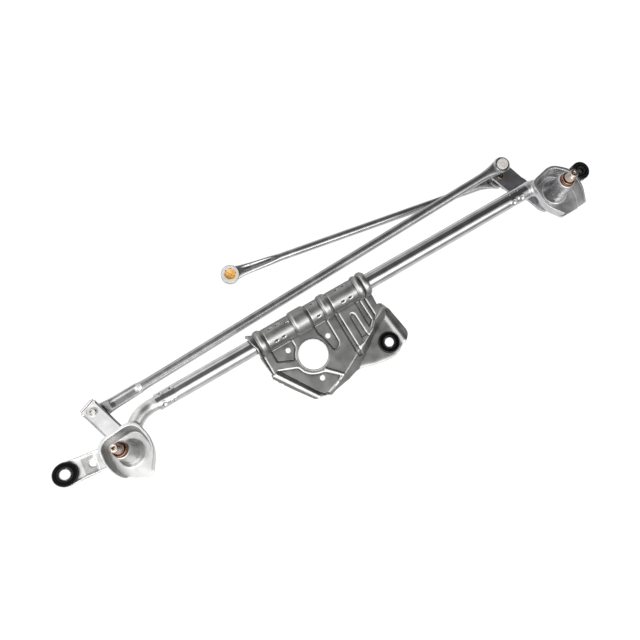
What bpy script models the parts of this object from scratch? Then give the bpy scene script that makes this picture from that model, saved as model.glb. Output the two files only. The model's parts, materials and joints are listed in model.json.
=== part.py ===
"""Windshield wiper linkage: a tube frame with two pivots, two cranks and two connecting links.

Metres, +Z up. The tube runs along +X with its centre line through the origin, and the spindles point up.
"""

import math

import bmesh
import bpy
from mathutils import Matrix, Vector

MM = 0.001

# Tube
TUBE_RADIUS = 11 * MM
TUBE_WALL = 1.8 * MM
TUBE_LEFT_END = -201 * MM
TUBE_RIGHT_END = 370 * MM
GAP = 0.3 * MM

# Pivot axes: the point where each axis crosses z = 0, and its lean towards +X and +Y in degrees
LEFT_PIVOT = Vector((-256.9, -38.1, 0)) * MM
LEFT_LEAN = (-8.6, 10.7)
RIGHT_PIVOT = Vector((406.9, -21.1, 0)) * MM
RIGHT_LEAN = (3.8, 2.8)

# Heights along each pivot axis, from that point
CUP_BOTTOM = -4 * MM
CUP_FLOOR = 0 * MM
CUP_RIM = 17 * MM
BOSS_TOP = 39 * MM
SHAFT_TIP = 62 * MM
SHAFT_RADIUS = 6 * MM
BUSH_RADIUS = 8 * MM
BUSH_LENGTH = 13 * MM
LEFT_LEVER_LEVEL = -20 * MM
RIGHT_LEVER_LEVEL = -36 * MM
RIGHT_BALL_LEVEL = -50 * MM
LEVER_THICKNESS = 3 * MM
WASHER_THICKNESS = 1.4 * MM

# Ball joints, in the frame of each crank (x, y across the axis)
BALL_RADIUS = 8 * MM
BALL_DROP = 12.5 * MM
LEFT_BALL = Vector((-24.2, 78.4, 0)) * MM
RIGHT_BALL = Vector((-23.3, 76.9, 0)) * MM
MOTOR_LINK_BALL = Vector((-26.8, 66.5, 0)) * MM
SOCKET_CAVITY = 8.7 * MM
SOCKET_RADIUS = 10 * MM
CUP_RADIUS = 11.9 * MM

# Links
LINK_WALL = 1.5 * MM
LONG_LINK_WIDTH = 12.7 * MM
SHORT_LINK_WIDTH = 10.5 * MM
LINK_HEIGHT = 7 * MM
SHORT_LINK_LENGTH = 415 * MM
SHORT_LINK_ANGLE = 170.5

# Pressed bracket
SHEET = 2 * MM
SLEEVE_LEFT = -62 * MM
SLEEVE_RIGHT = 108 * MM
PLATE_TOP = -6 * MM
PLATFORM_TOP = -18 * MM
MOTOR_HOLE = Vector((0, -46.3, 0)) * MM
MOTOR_HOLE_RADIUS = 19.5 * MM
MOTOR_SCREW_HOLES = ((-25.6, -25.6), (29.2, -35), (-5.3, -78.6))
MOTOR_SCREW_RADIUS = 3.25 * MM
SLEEVE_BEADS = ((-57, -46, 2.2), (-4, 17, 2.0), (38, 49, 2.2), (87, 104, 2.6))

# Mounting points: centre of each grommet, and the direction of its ear in degrees
EAR_THICKNESS = 4 * MM
LEFT_GROMMET = Vector((-337.2, -20.2, -5)) * MM
LEFT_EAR_ANGLE = -7
RIGHT_GROMMET = Vector((458, -13.4, -5)) * MM
RIGHT_EAR_ANGLE = 188
BRACKET_GROMMET = Vector((97.2, -82.5, -19)) * MM
EAR_HALF_WIDTH = 13.5 * MM
SLEEVE_WALL = 1 * MM

# Grommets: outer radius, radius at the groove, radius of the bore, and how much longer it is along its ear
LEFT_GROMMET_SIZES = (14.8 * MM, 11 * MM, 7.1 * MM, 1.1)
RIGHT_GROMMET_SIZES = (11.6 * MM, 8.6 * MM, 3.4 * MM, 1.0)
BRACKET_GROMMET_SIZES = (14.4 * MM, 11 * MM, 7.1 * MM, 1.0)

# Centre lines of the two necks in mm, from inside the cup to the end of the spigot in the tube
LEFT_NECK_PATH = (
    (-246, -24, 3),
    (-237, -11, 4),
    (-225, -3, 3),
    (-210, 0, 0),
    (-203, 0, 0),
    (-201.6, 0, 0),
    (-170, 0, 0),
)
RIGHT_NECK_PATH = ((395, -10, 4), (385, -3, 2), (377, 0, 0), (372, 0, 0), (370.6, 0, 0), (339, 0, 0))
SPIGOT_RADIUS = 8.8 * MM

ROUND = 20


def material(name, colour, metallic, roughness):
    made = bpy.data.materials.new(name)
    made.use_nodes = True
    shader = made.node_tree.nodes["Principled BSDF"]
    shader.inputs["Base Color"].default_value = (*colour, 1)
    shader.inputs["Metallic"].default_value = metallic
    shader.inputs["Roughness"].default_value = roughness
    made.diffuse_color = (*colour, 1)
    return made


def mesh_object(name, points, faces, look=None, parent=None):
    """A closed mesh object with its faces pointing out, shaded smooth across shallow angles."""
    mesh = bpy.data.meshes.new(name)
    mesh.from_pydata(points, [], faces)
    shaped = bmesh.new()
    shaped.from_mesh(mesh)
    bmesh.ops.recalc_face_normals(shaped, faces=shaped.faces)
    shaped.to_mesh(mesh)
    shaped.free()
    mesh.shade_smooth()
    mesh.set_sharp_from_angle(angle=math.radians(35))
    made = bpy.data.objects.new(name, mesh)
    bpy.context.scene.collection.objects.link(made)
    made.parent = parent
    if look:
        mesh.materials.append(look)
    return made


def helper(made):
    """Marks an object as a Boolean's operand, which isn't a piece of its own."""
    made.hide_render = True
    made.display_type = "WIRE"
    return made


def boolean(target, operation, tool):
    step = target.modifiers.new(tool.name, "BOOLEAN")
    step.operation = operation
    step.solver = "EXACT"
    step.object = helper(tool)


def fuse(target, *tools):
    for tool in tools:
        boolean(target, "UNION", tool)


def cut(target, *tools):
    for tool in tools:
        boolean(target, "DIFFERENCE", tool)


def empty(name, matrix):
    made = bpy.data.objects.new(name, None)
    bpy.context.scene.collection.objects.link(made)
    made.empty_display_size = 0.02
    made.matrix_world = matrix
    return made


def loft(name, loops, look=None, parent=None):
    """A solid through loops of equal length, closed by a cap at each end."""
    count = len(loops[0])
    points = [point for loop in loops for point in loop]
    faces = [tuple(range(count)), tuple(range(len(points) - count, len(points)))]
    for row in range(len(loops) - 1):
        start = row * count
        for i in range(count):
            j = (i + 1) % count
            faces.append((start + i, start + j, start + count + j, start + count + i))
    return mesh_object(name, points, faces, look, parent)


def prism(name, outline, bottom, top, look=None, parent=None):
    return loft(name, [[(x, y, z) for x, y in outline] for z in (bottom, top)], look, parent)


def turned(name, profile, look=None, parent=None, steps=ROUND, stretch=1.0):
    """A solid of revolution about Z; the profile is (radius, z) points, and a ring unless it ends at r = 0."""
    points = []
    rows = []
    for radius, z in profile:
        if radius == 0:
            rows.append([len(points)] * steps)
            points.append((0, 0, z))
            continue
        rows.append(list(range(len(points), len(points) + steps)))
        for i in range(steps):
            angle = 2 * math.pi * (i + 0.5) / steps
            points.append((stretch * radius * math.cos(angle), radius * math.sin(angle), z))
    bored = profile[0][0] > 0
    faces = []
    for k in range(len(rows) if bored else len(rows) - 1):
        low, high = rows[k], rows[(k + 1) % len(rows)]
        for i in range(steps):
            j = (i + 1) % steps
            corners = dict.fromkeys((low[i], low[j], high[j], high[i]))
            faces.append(tuple(corners))
    return mesh_object(name, points, faces, look, parent)


def rounded(corners, steps=4):
    """An outline through corners (x, y, cut) in mm; each corner becomes a curve that starts `cut` before it."""
    outline = []
    count = len(corners)
    for i, (x, y, cut_back) in enumerate(corners):
        here = Vector((x, y))
        before = Vector(corners[i - 1][:2]) - here
        after = Vector(corners[(i + 1) % count][:2]) - here
        if cut_back == 0:
            outline.append(tuple(here * MM))
            continue
        start = here + before.normalized() * min(cut_back, 0.49 * before.length)
        end = here + after.normalized() * min(cut_back, 0.49 * after.length)
        for k in range(steps + 1):
            t = k / steps
            point = start * (1 - t) ** 2 + here * 2 * t * (1 - t) + end * t * t
            outline.append(tuple(point * MM))
    return outline


def scaled(outline, z, across, along, shift=0.0):
    """The outline at height z, narrowed by `across` in x, and by `along` in y about its lowest edge."""
    edge = min(y for _, y in outline)
    return [(x * across, edge + (y - edge) * along - shift, z) for x, y in outline]


def axis_frame(origin, lean):
    """Z along the leaning axis, X as near the tube's direction as that allows."""
    z = Vector((math.tan(math.radians(lean[0])), math.tan(math.radians(lean[1])), 1)).normalized()
    x = (Vector((1, 0, 0)) - z * z.x).normalized()
    y = z.cross(x)
    return Matrix.LocRotScale(origin, Matrix((x, y, z)).transposed(), None)


def link_frame(start, end):
    """X from one ball centre to the other, Z as near the vertical as that allows."""
    x = (end - start).normalized()
    z = (Vector((0, 0, 1)) - x * x.z).normalized()
    y = z.cross(x)
    return Matrix.LocRotScale(start, Matrix((x, y, z)).transposed(), None)


def flat_frame(centre, degrees):
    return Matrix.LocRotScale(centre, Matrix.Rotation(math.radians(degrees), 3, "Z"), None)


def swept_rod(name, path, radii, steps=16):
    """A rod of round sections along a path, each section square to the path there."""
    loops = []
    for i, point in enumerate(path):
        ahead = path[min(i + 1, len(path) - 1)] - path[max(i - 1, 0)]
        side = ahead.cross(Vector((0, 0, 1))).normalized()
        rise = side.cross(ahead).normalized()
        loop = []
        for k in range(steps):
            angle = 2 * math.pi * k / steps
            loop.append(point + (side * math.cos(angle) + rise * math.sin(angle)) * radii[i])
        loops.append(loop)
    return loft(name, loops)


# ---------------------------------------------------------------- fixed frame


def build_tube(steel):
    length = TUBE_RIGHT_END - TUBE_LEFT_END
    inner = TUBE_RADIUS - TUBE_WALL
    profile = ((TUBE_RADIUS, 0), (TUBE_RADIUS, length), (inner, length), (inner, 0))
    tube = turned("frame_tube", profile, steel)
    tube.location = (TUBE_LEFT_END, 0, 0)
    tube.rotation_euler = (0, math.radians(90), 0)


def sleeve_section(inner, outer, first, last, steps):
    """A band of a circle across the tube, as (y, z) points from angle `first` to `last` and back."""
    angles = [math.radians(first + (last - first) * k / steps) for k in range(steps + 1)]
    outside = [(outer * math.cos(a), outer * math.sin(a)) for a in angles]
    inside = [(inner * math.cos(a), inner * math.sin(a)) for a in reversed(angles)]
    return outside + inside


def along_tube(name, section, left, right, look=None):
    return loft(name, [[(x, y, z) for y, z in section] for x in (left, right)], look)


def build_bracket(steel):
    inner = TUBE_RADIUS + GAP
    outer = inner + SHEET
    lip = 1.5 * MM
    section = sleeve_section(inner, outer, -25, 180, 14)
    bracket = along_tube("motor_bracket", section, SLEEVE_LEFT, SLEEVE_RIGHT, steel)
    skirt = (
        (-outer, lip),
        (-inner, lip),
        (-inner, PLATE_TOP - SHEET),
        (-outer - 6 * MM, PLATE_TOP - SHEET),
        (-outer - 6 * MM, PLATE_TOP),
        (-outer, PLATE_TOP),
    )
    fuse(bracket, along_tube("bracket_skirt", skirt, SLEEVE_LEFT + lip, SLEEVE_RIGHT - lip))
    for left, right, height in SLEEVE_BEADS:
        bead = sleeve_section(inner + 0.6 * SHEET, outer + height * MM, -22, 176, 12)
        fuse(bracket, along_tube("bracket_bead", bead, left * MM, right * MM))
    plate = rounded(
        (
            (-61.5, -15, 0),
            (-61.5, -46, 3),
            (-25, -95.5, 5),
            (-5, -102, 8),
            (19, -96, 4),
            (52, -72, 6),
            (95, -44, 8),
            (106.5, -15, 0),
        )
    )
    fuse(bracket, prism("bracket_plate", plate, PLATE_TOP - SHEET + 0.2 * MM, PLATE_TOP - 0.2 * MM))
    platform = rounded(
        (
            (27, -96, 2),
            (46, -91, 6),
            (76, -99.5, 8),
            (101, -102, 9),
            (127, -85, 6),
            (120, -40, 6),
            (101, -42, 4),
            (84, -63, 6),
            (50, -84, 6),
            (27, -92, 2),
        )
    )
    fuse(bracket, prism("bracket_platform", platform, PLATFORM_TOP - SHEET, PLATFORM_TOP))
    upper = ((17, -94), (51, -73.5), (94, -46), (104.5, -20))
    lower = ((29, -94.5), (52, -85.5), (86, -64), (113, -42))
    fuse(bracket, slanted_sheet("bracket_wall", upper, lower, PLATE_TOP, PLATFORM_TOP))
    flange_top = ((-59.5, -46), (-24, -93.5), (-7, -100))
    flange_foot = ((-62.5, -47.5), (-25.5, -96), (-8, -101.5))
    fuse(bracket, slanted_sheet("bracket_flange", flange_top, flange_foot, PLATE_TOP, PLATE_TOP - 10 * MM))
    hole = turned(
        "motor_hole",
        ((0, 0.03), (MOTOR_HOLE_RADIUS, 0.03), (MOTOR_HOLE_RADIUS, -0.03), (0, -0.03)),
        steps=40,
    )
    hole.location = MOTOR_HOLE
    cut(bracket, hole)
    for x, y in MOTOR_SCREW_HOLES:
        drill = turned(
            "screw_hole",
            ((0, 0.02), (MOTOR_SCREW_RADIUS, 0.02), (MOTOR_SCREW_RADIUS, -0.02), (0, -0.02)),
            steps=16,
        )
        drill.location = (x * MM, y * MM, 0)
        cut(bracket, drill)
    groove = BRACKET_GROMMET_SIZES[1] + GAP
    seat = turned(
        "bracket_grommet_hole",
        ((0, 0.01), (groove, 0.01), (groove, -0.01), (0, -0.01)),
    )
    seat.location = BRACKET_GROMMET
    cut(bracket, seat)


def slanted_sheet(name, upper, lower, upper_z, lower_z):
    """A sheet that drops from one line of points to another, sunk a little into the sheets it joins."""
    sink = 0.3 * MM
    loops = []
    for (ax, ay), (bx, by) in zip(upper, lower):
        loops.append(
            [
                (ax * MM, ay * MM, upper_z - sink),
                (bx * MM, by * MM, lower_z - sink),
                (bx * MM, by * MM, lower_z - SHEET - sink),
                (ax * MM, ay * MM, upper_z - SHEET - sink),
            ]
        )
    return loft(name, loops)


def ear_solid(side, centre, degrees, length, end):
    """The flat mounting ear of a housing, with a round end of radius `end` in mm about its grommet."""
    half = EAR_HALF_WIDTH / MM
    outline = [
        (end * math.cos(a) * MM, end * math.sin(a) * MM)
        for a in (math.radians(75 + 210 * k / 14) for k in range(15))
    ]
    outline += [(length, -EAR_HALF_WIDTH), (length, EAR_HALF_WIDTH)]
    plate = prism(side + "_ear", outline, -EAR_THICKNESS / 2, EAR_THICKNESS / 2)
    plate.matrix_world = flat_frame(centre, degrees)
    ribs = []
    for sign in (-1, 1):
        line = ((end + 1, sign * (0.5 * (end + half) - 1.3)), (length / MM, sign * (half - 1.1)))
        loops = [
            [(x * MM, (y + dy) * MM, z * MM) for dy, z in ((-0.9, 1), (0.9, 1), (0.9, 4), (-0.9, 4))]
            for x, y in (line[0], line[1])
        ]
        rib = loft(side + "_ear_rib", loops)
        rib.matrix_world = flat_frame(centre, degrees)
        ribs.append(rib)
    return plate, ribs


def build_housing(side, frame, rim, lever_level, neck, ear, look):
    """One casting: cup, bearing boss, neck staked into the tube, and mounting ear."""
    outline = rounded(rim)
    housing = loft(
        side + "_pivot_housing",
        [
            scaled(outline, CUP_BOTTOM, 0.8, 0.88),
            scaled(outline, 3 * MM, 0.91, 0.95),
            scaled(outline, CUP_RIM, 1.0, 1.0),
        ],
        look,
        frame,
    )
    fuse(housing, neck)
    centre, degrees, length, hole, sizes = ear
    plate, ribs = ear_solid(side, centre, degrees, length, sizes[0] / MM + 0.8)
    fuse(housing, plate, *ribs)
    open_side = 1.5 * MM
    cavity = [
        scaled(outline, CUP_FLOOR, 0.72, 0.85, open_side),
        scaled(outline, CUP_FLOOR + 4 * MM, 0.79, 0.91, open_side),
        scaled(outline, CUP_RIM + 8 * MM, 0.93, 0.985, open_side),
    ]
    cut(housing, loft(side + "_cavity", cavity, None, frame))
    hub_bottom = lever_level + LEVER_THICKNESS / 2 + WASHER_THICKNESS + 2 * GAP
    boss = turned(
        side + "_boss",
        (
            (0, hub_bottom),
            (11 * MM, hub_bottom),
            (13 * MM, CUP_BOTTOM - 2 * MM),
            (17 * MM, CUP_FLOOR - 1 * MM),
            (16.5 * MM, CUP_FLOOR + 1.5 * MM),
            (14.5 * MM, CUP_FLOOR + 5 * MM),
            (11.5 * MM, BOSS_TOP - 1.5 * MM),
            (10.5 * MM, BOSS_TOP),
            (0, BOSS_TOP),
        ),
        None,
        frame,
    )
    fuse(housing, boss)
    bore = BUSH_RADIUS + GAP
    step = SHAFT_RADIUS + 3 * GAP
    top = BOSS_TOP - 3 * MM - BUSH_LENGTH - GAP
    bottom = hub_bottom + BUSH_LENGTH + GAP
    drill = turned(
        side + "_bore",
        (
            (0, -0.08),
            (bore, -0.08),
            (bore, bottom),
            (step, bottom),
            (step, top),
            (bore, top),
            (bore, 0.05),
            (0, 0.05),
        ),
        None,
        frame,
    )
    cut(housing, drill)
    groove = sizes[1] + GAP
    seat = turned(
        side + "_grommet_hole",
        ((0, 0.01), (groove, 0.01), (groove, -0.01), (0, -0.01)),
        stretch=sizes[3],
    )
    seat.matrix_world = flat_frame(centre, degrees)
    cut(housing, seat)
    if hole:
        drill = turned(
            side + "_ear_hole",
            ((0, 0.01), (4.25 * MM, 0.01), (4.25 * MM, -0.01), (0, -0.01)),
            steps=16,
        )
        drill.matrix_world = flat_frame(centre, degrees) @ Matrix.Translation((hole, 0, 0))
        cut(housing, drill)


def build_bushes(side, frame, lever_level, bronze):
    hub_bottom = lever_level + LEVER_THICKNESS / 2 + WASHER_THICKNESS + 2 * GAP
    inner = SHAFT_RADIUS + GAP
    upper_end = BOSS_TOP - 3 * MM
    for place, bottom in (("upper", upper_end - BUSH_LENGTH), ("lower", hub_bottom)):
        top = bottom + BUSH_LENGTH
        profile = ((BUSH_RADIUS, bottom), (BUSH_RADIUS, top), (inner, top), (inner, bottom))
        turned(f"{side}_{place}_bush", profile, bronze, frame)


def build_grommet(name, matrix, plate_thickness, sizes, rubber):
    """A rubber ring clipped over the edge of the sheet."""
    outer, neck, hole, stretch = sizes
    half = plate_thickness / 2 + GAP
    flange = half + 4 * MM
    edge = 0.9 * MM
    profile = (
        (hole, flange),
        (hole + edge, flange + edge),
        (outer - 2 * edge, flange + edge),
        (outer, flange - edge),
        (outer, half + edge / 2),
        (outer - edge, half),
        (neck, half),
        (neck, -half),
        (outer - edge, -half),
        (outer, -half - edge / 2),
        (outer, edge - flange),
        (outer - 2 * edge, -flange - edge),
        (hole + edge, -flange - edge),
        (hole, -flange),
    )
    ring = turned(name + "_grommet", profile, rubber, stretch=stretch)
    ring.matrix_world = matrix


def build_spacer(name, matrix, plate_thickness, sizes, steel):
    """The steel spacer tube through a grommet, which the mounting screw pulls against."""
    outer = sizes[2] - GAP
    inner = outer - SLEEVE_WALL
    end = plate_thickness / 2 + 5 * MM
    wall = ((outer, -end), (outer, end), (inner, end), (inner, -end))
    sleeve = turned(name + "_grommet_sleeve", wall, steel, stretch=sizes[3])
    sleeve.matrix_world = matrix


# ---------------------------------------------------------------- cranks


def build_shaft(side, axis, lever_level, steel):
    """The wiper spindle: riveted under the lever, plain in its bushes, tapered and threaded at its tip."""
    half = LEVER_THICKNESS / 2
    under = lever_level - half - GAP
    seat = BOSS_TOP + 7 * MM
    profile = (
        (0, under - 2.6 * MM),
        (6.5 * MM, under - 2.6 * MM),
        (8.2 * MM, under - 1.4 * MM),
        (8.2 * MM, under),
        (5.2 * MM, under),
        (5.2 * MM, lever_level + half + GAP),
        (SHAFT_RADIUS, lever_level + half + GAP),
        (SHAFT_RADIUS, seat),
        (6.7 * MM, seat + 0.5 * MM),
        (5.9 * MM, seat + 10 * MM),
        (5.0 * MM, seat + 10.5 * MM),
        (5.0 * MM, SHAFT_TIP - 1 * MM),
        (4.0 * MM, SHAFT_TIP),
        (0, SHAFT_TIP),
    )
    turned(side + "_pivot_shaft", profile, steel, axis)


def build_spindle_trim(side, axis, lever_level, copper, steel, rubber):
    inner = SHAFT_RADIUS + GAP
    low = BOSS_TOP + GAP
    ring = (
        (9.2 * MM, low),
        (9.9 * MM, low + 1.5 * MM),
        (9.6 * MM, low + 4 * MM),
        (8.3 * MM, low + 5.4 * MM),
        (inner, low + 5.4 * MM),
        (inner, low),
    )
    turned(side + "_retaining_ring", ring, copper, axis)
    washer_low = lever_level + LEVER_THICKNESS / 2 + GAP
    washer_high = washer_low + WASHER_THICKNESS
    washer = (
        (10.5 * MM, washer_low),
        (10.5 * MM, washer_high),
        (inner, washer_high),
        (inner, washer_low),
    )
    turned(side + "_thrust_washer", washer, steel, axis)
    middle = BOSS_TOP - 1.4 * MM
    seal = [
        (
            7.2 * MM + 0.85 * MM * math.cos(math.radians(60 * k)),
            middle + 0.85 * MM * math.sin(math.radians(60 * k)),
        )
        for k in range(6)
    ]
    turned(side + "_shaft_seal", seal, rubber, axis, 16)


def lever_plate(name, axis, stations, degrees, look):
    """A pressed plate along the lever's length; each station is (x, right edge, left edge, level) in mm."""
    half = 0.5 * LEVER_THICKNESS / MM
    loops = []
    for x, right, left, level in stations:
        corners = ((right, level - half), (right, level + half), (left, level + half), (left, level - half))
        loops.append([(x * MM, y * MM, z * MM) for y, z in corners])
    lever = loft(name, loops, look, axis)
    lever.matrix_local = Matrix.Rotation(math.radians(degrees), 4, "Z")
    return lever


def round_end(x, radius, level, towards):
    """Stations for the half-round end of a lever about x; `towards` is -1 where the end comes first."""
    angles = [math.radians(a) for a in (8, 30, 55, 90)]
    if towards > 0:
        angles.reverse()
    stations = []
    for angle in angles:
        side = radius * math.sin(angle)
        stations.append((x + towards * radius * math.cos(angle), -side, side, level))
    return stations


def drill_lever(lever, axis, places):
    """The shaft hole on the axis, and a hole for each ball stud."""
    for place, radius in [(Vector(), 5.2 * MM)] + [(place, 3.8 * MM) for place in places]:
        hole = radius + GAP
        drill = turned(
            lever.name + "_hole", ((0, 0.2), (hole, 0.2), (hole, -0.2), (0, -0.2)), None, axis, 16
        )
        drill.location = place
        cut(lever, drill)


def build_left_lever(axis, look):
    """A straight lever with its long edges folded down."""
    level = LEFT_LEVER_LEVEL / MM
    reach = LEFT_BALL.length / MM
    degrees = math.degrees(math.atan2(LEFT_BALL.y, LEFT_BALL.x))
    half = 12.5
    stations = round_end(0, half, level, -1) + [
        (reach + 8, -half, half, level),
        (reach + 12, -half + 1.2, half - 1.2, level),
        (reach + 13, -half + 4, half - 4, level),
    ]
    lever = lever_plate("left_crank_lever", axis, stations, degrees, look)
    for side in (-1, 1):
        inner, outer = sorted((side * (half - 1.8), side * half))
        low = level - 0.5 * LEVER_THICKNESS / MM - 3
        fold = lever_plate(
            "left_lever_fold",
            axis,
            [(x, inner, outer, low + 1.5) for x in (6, reach + 6)],
            degrees,
            None,
        )
        fuse(lever, fold)
    drill_lever(lever, axis, (LEFT_BALL,))


def build_right_lever(axis, look):
    """A wide lever with a step down between the spindle and the ball studs."""
    high = RIGHT_LEVER_LEVEL / MM
    low = RIGHT_BALL_LEVEL / MM
    reach = RIGHT_BALL.length / MM
    degrees = math.degrees(math.atan2(RIGHT_BALL.y, RIGHT_BALL.x))
    stations = round_end(0, 14, high, -1) + [
        (19, -16, 14.5, high),
        (24, -16.5, 15.5, high - 1.5),
        (36, -17, 17.5, low + 1.5),
        (41, -17, 18, low),
        (reach - 8, -17, 18, low),
        (reach + 4, -12, 13, low),
        (reach + 10, -6, 6, low),
    ]
    lever = lever_plate("right_crank_lever", axis, stations, degrees, look)
    drill_lever(lever, axis, (RIGHT_BALL, MOTOR_LINK_BALL))


def build_ball_stud(name, axis, place, level, up, steel):
    """A ball stud riveted through a lever; `up` is 1 for a ball above the plate and -1 for one below it."""
    face = LEVER_THICKNESS / 2 + GAP
    profile = [
        (0, -face - 1.6 * MM),
        (4.0 * MM, -face - 1.6 * MM),
        (4.9 * MM, -face - 0.7 * MM),
        (4.9 * MM, -face),
        (3.8 * MM, -face),
        (3.8 * MM, face),
        (5.6 * MM, face),
        (5.6 * MM, face + 1 * MM),
        (4.4 * MM, face + 1.5 * MM),
    ]
    first = -math.acos(4.4 * MM / BALL_RADIUS)
    rings = 7
    for k in range(rings):
        angle = first + (math.pi / 2 - first) * k / rings
        profile.append((BALL_RADIUS * math.cos(angle), BALL_DROP + BALL_RADIUS * math.sin(angle)))
    profile.append((0, BALL_DROP + BALL_RADIUS))
    stud = turned(name, [(radius, z * up) for radius, z in profile], steel, axis, 16)
    stud.location = (place.x, place.y, level)


# ---------------------------------------------------------------- links


def channel_loop(x, width, height, wall, offset=0.0):
    """One cross-section of a rolled channel, open underneath, at distance x along the link."""
    outer, bottom, top = width / 2, offset - height / 2, offset + height / 2
    bevel = min(3 * MM, height * 0.45)
    inner = outer - wall
    section = (
        (-outer, bottom),
        (-outer, top - bevel),
        (-outer + 0.3 * bevel, top - 0.3 * bevel),
        (-outer + bevel, top),
        (outer - bevel, top),
        (outer - 0.3 * bevel, top - 0.3 * bevel),
        (outer, top - bevel),
        (outer, bottom),
        (inner, bottom),
        (inner, top - bevel - 0.2 * wall),
        (inner - 0.8 * bevel, top - wall),
        (-inner + 0.8 * bevel, top - wall),
        (-inner, top - bevel - 0.2 * wall),
        (-inner, bottom),
    )
    return [(x, y, z) for y, z in section]


def socket_cup(name, frame, x, up):
    """The drawn cup at the end of a link, which holds the socket; it opens towards +Z where `up` is 1."""
    profile = (
        (0, 4),
        (CUP_RADIUS / MM, 4),
        (CUP_RADIUS / MM, -4.6),
        (10.2, -7.2),
        (0, -7.2),
    )
    cup = turned(name, [(r * MM, z * MM * up) for r, z in profile], None, frame)
    cup.location = (x, 0, 0)
    return cup


def socket_seat(name, frame, x, up):
    bore = SOCKET_RADIUS / MM + 0.3
    profile = ((0, 9), (bore, 9), (bore, -3.8), (8.3, -6.2), (8.3, -12), (0, -12))
    seat = turned(name, [(r * MM, z * MM * up) for r, z in profile], None, frame)
    seat.location = (x, 0, 0)
    return seat


def build_socket(name, frame, x, up, nylon):
    """A nylon ball socket: a closed cap on one side, and a snap-in mouth on the other."""
    radius = SOCKET_RADIUS / MM
    cavity = SOCKET_CAVITY / MM
    mouth = 6
    profile = [
        (0, -10.6),
        (7.2, -10.6),
        (7.9, -9.9),
        (7.9, -6.5),
        (radius, -4),
        (radius, mouth - 0.6),
        (radius - 0.6, mouth),
    ]
    first = math.asin(mouth / cavity)
    rings = 5
    for k in range(rings):
        angle = first - (first + math.pi / 2) * k / rings
        profile.append((cavity * math.cos(angle), cavity * math.sin(angle)))
    profile.append((0, -cavity))
    socket = turned(name, [(r * MM, z * MM * up) for r, z in profile], nylon, frame)
    socket.location = (x, 0, 0)


def build_link(name, frame, sections, wall, ends, look):
    """A rolled channel between two socket cups; `ends` are (x, up) of the two."""
    loops = [channel_loop(x, width, height, wall, offset) for x, width, height, offset in sections]
    link = loft(name, loops, look, frame)
    for k, (x, up) in enumerate(ends):
        fuse(link, socket_cup(f"{name}_cup_{k}", frame, x, up))
    for k, (x, up) in enumerate(ends):
        cut(link, socket_seat(f"{name}_seat_{k}", frame, x, up))


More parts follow.
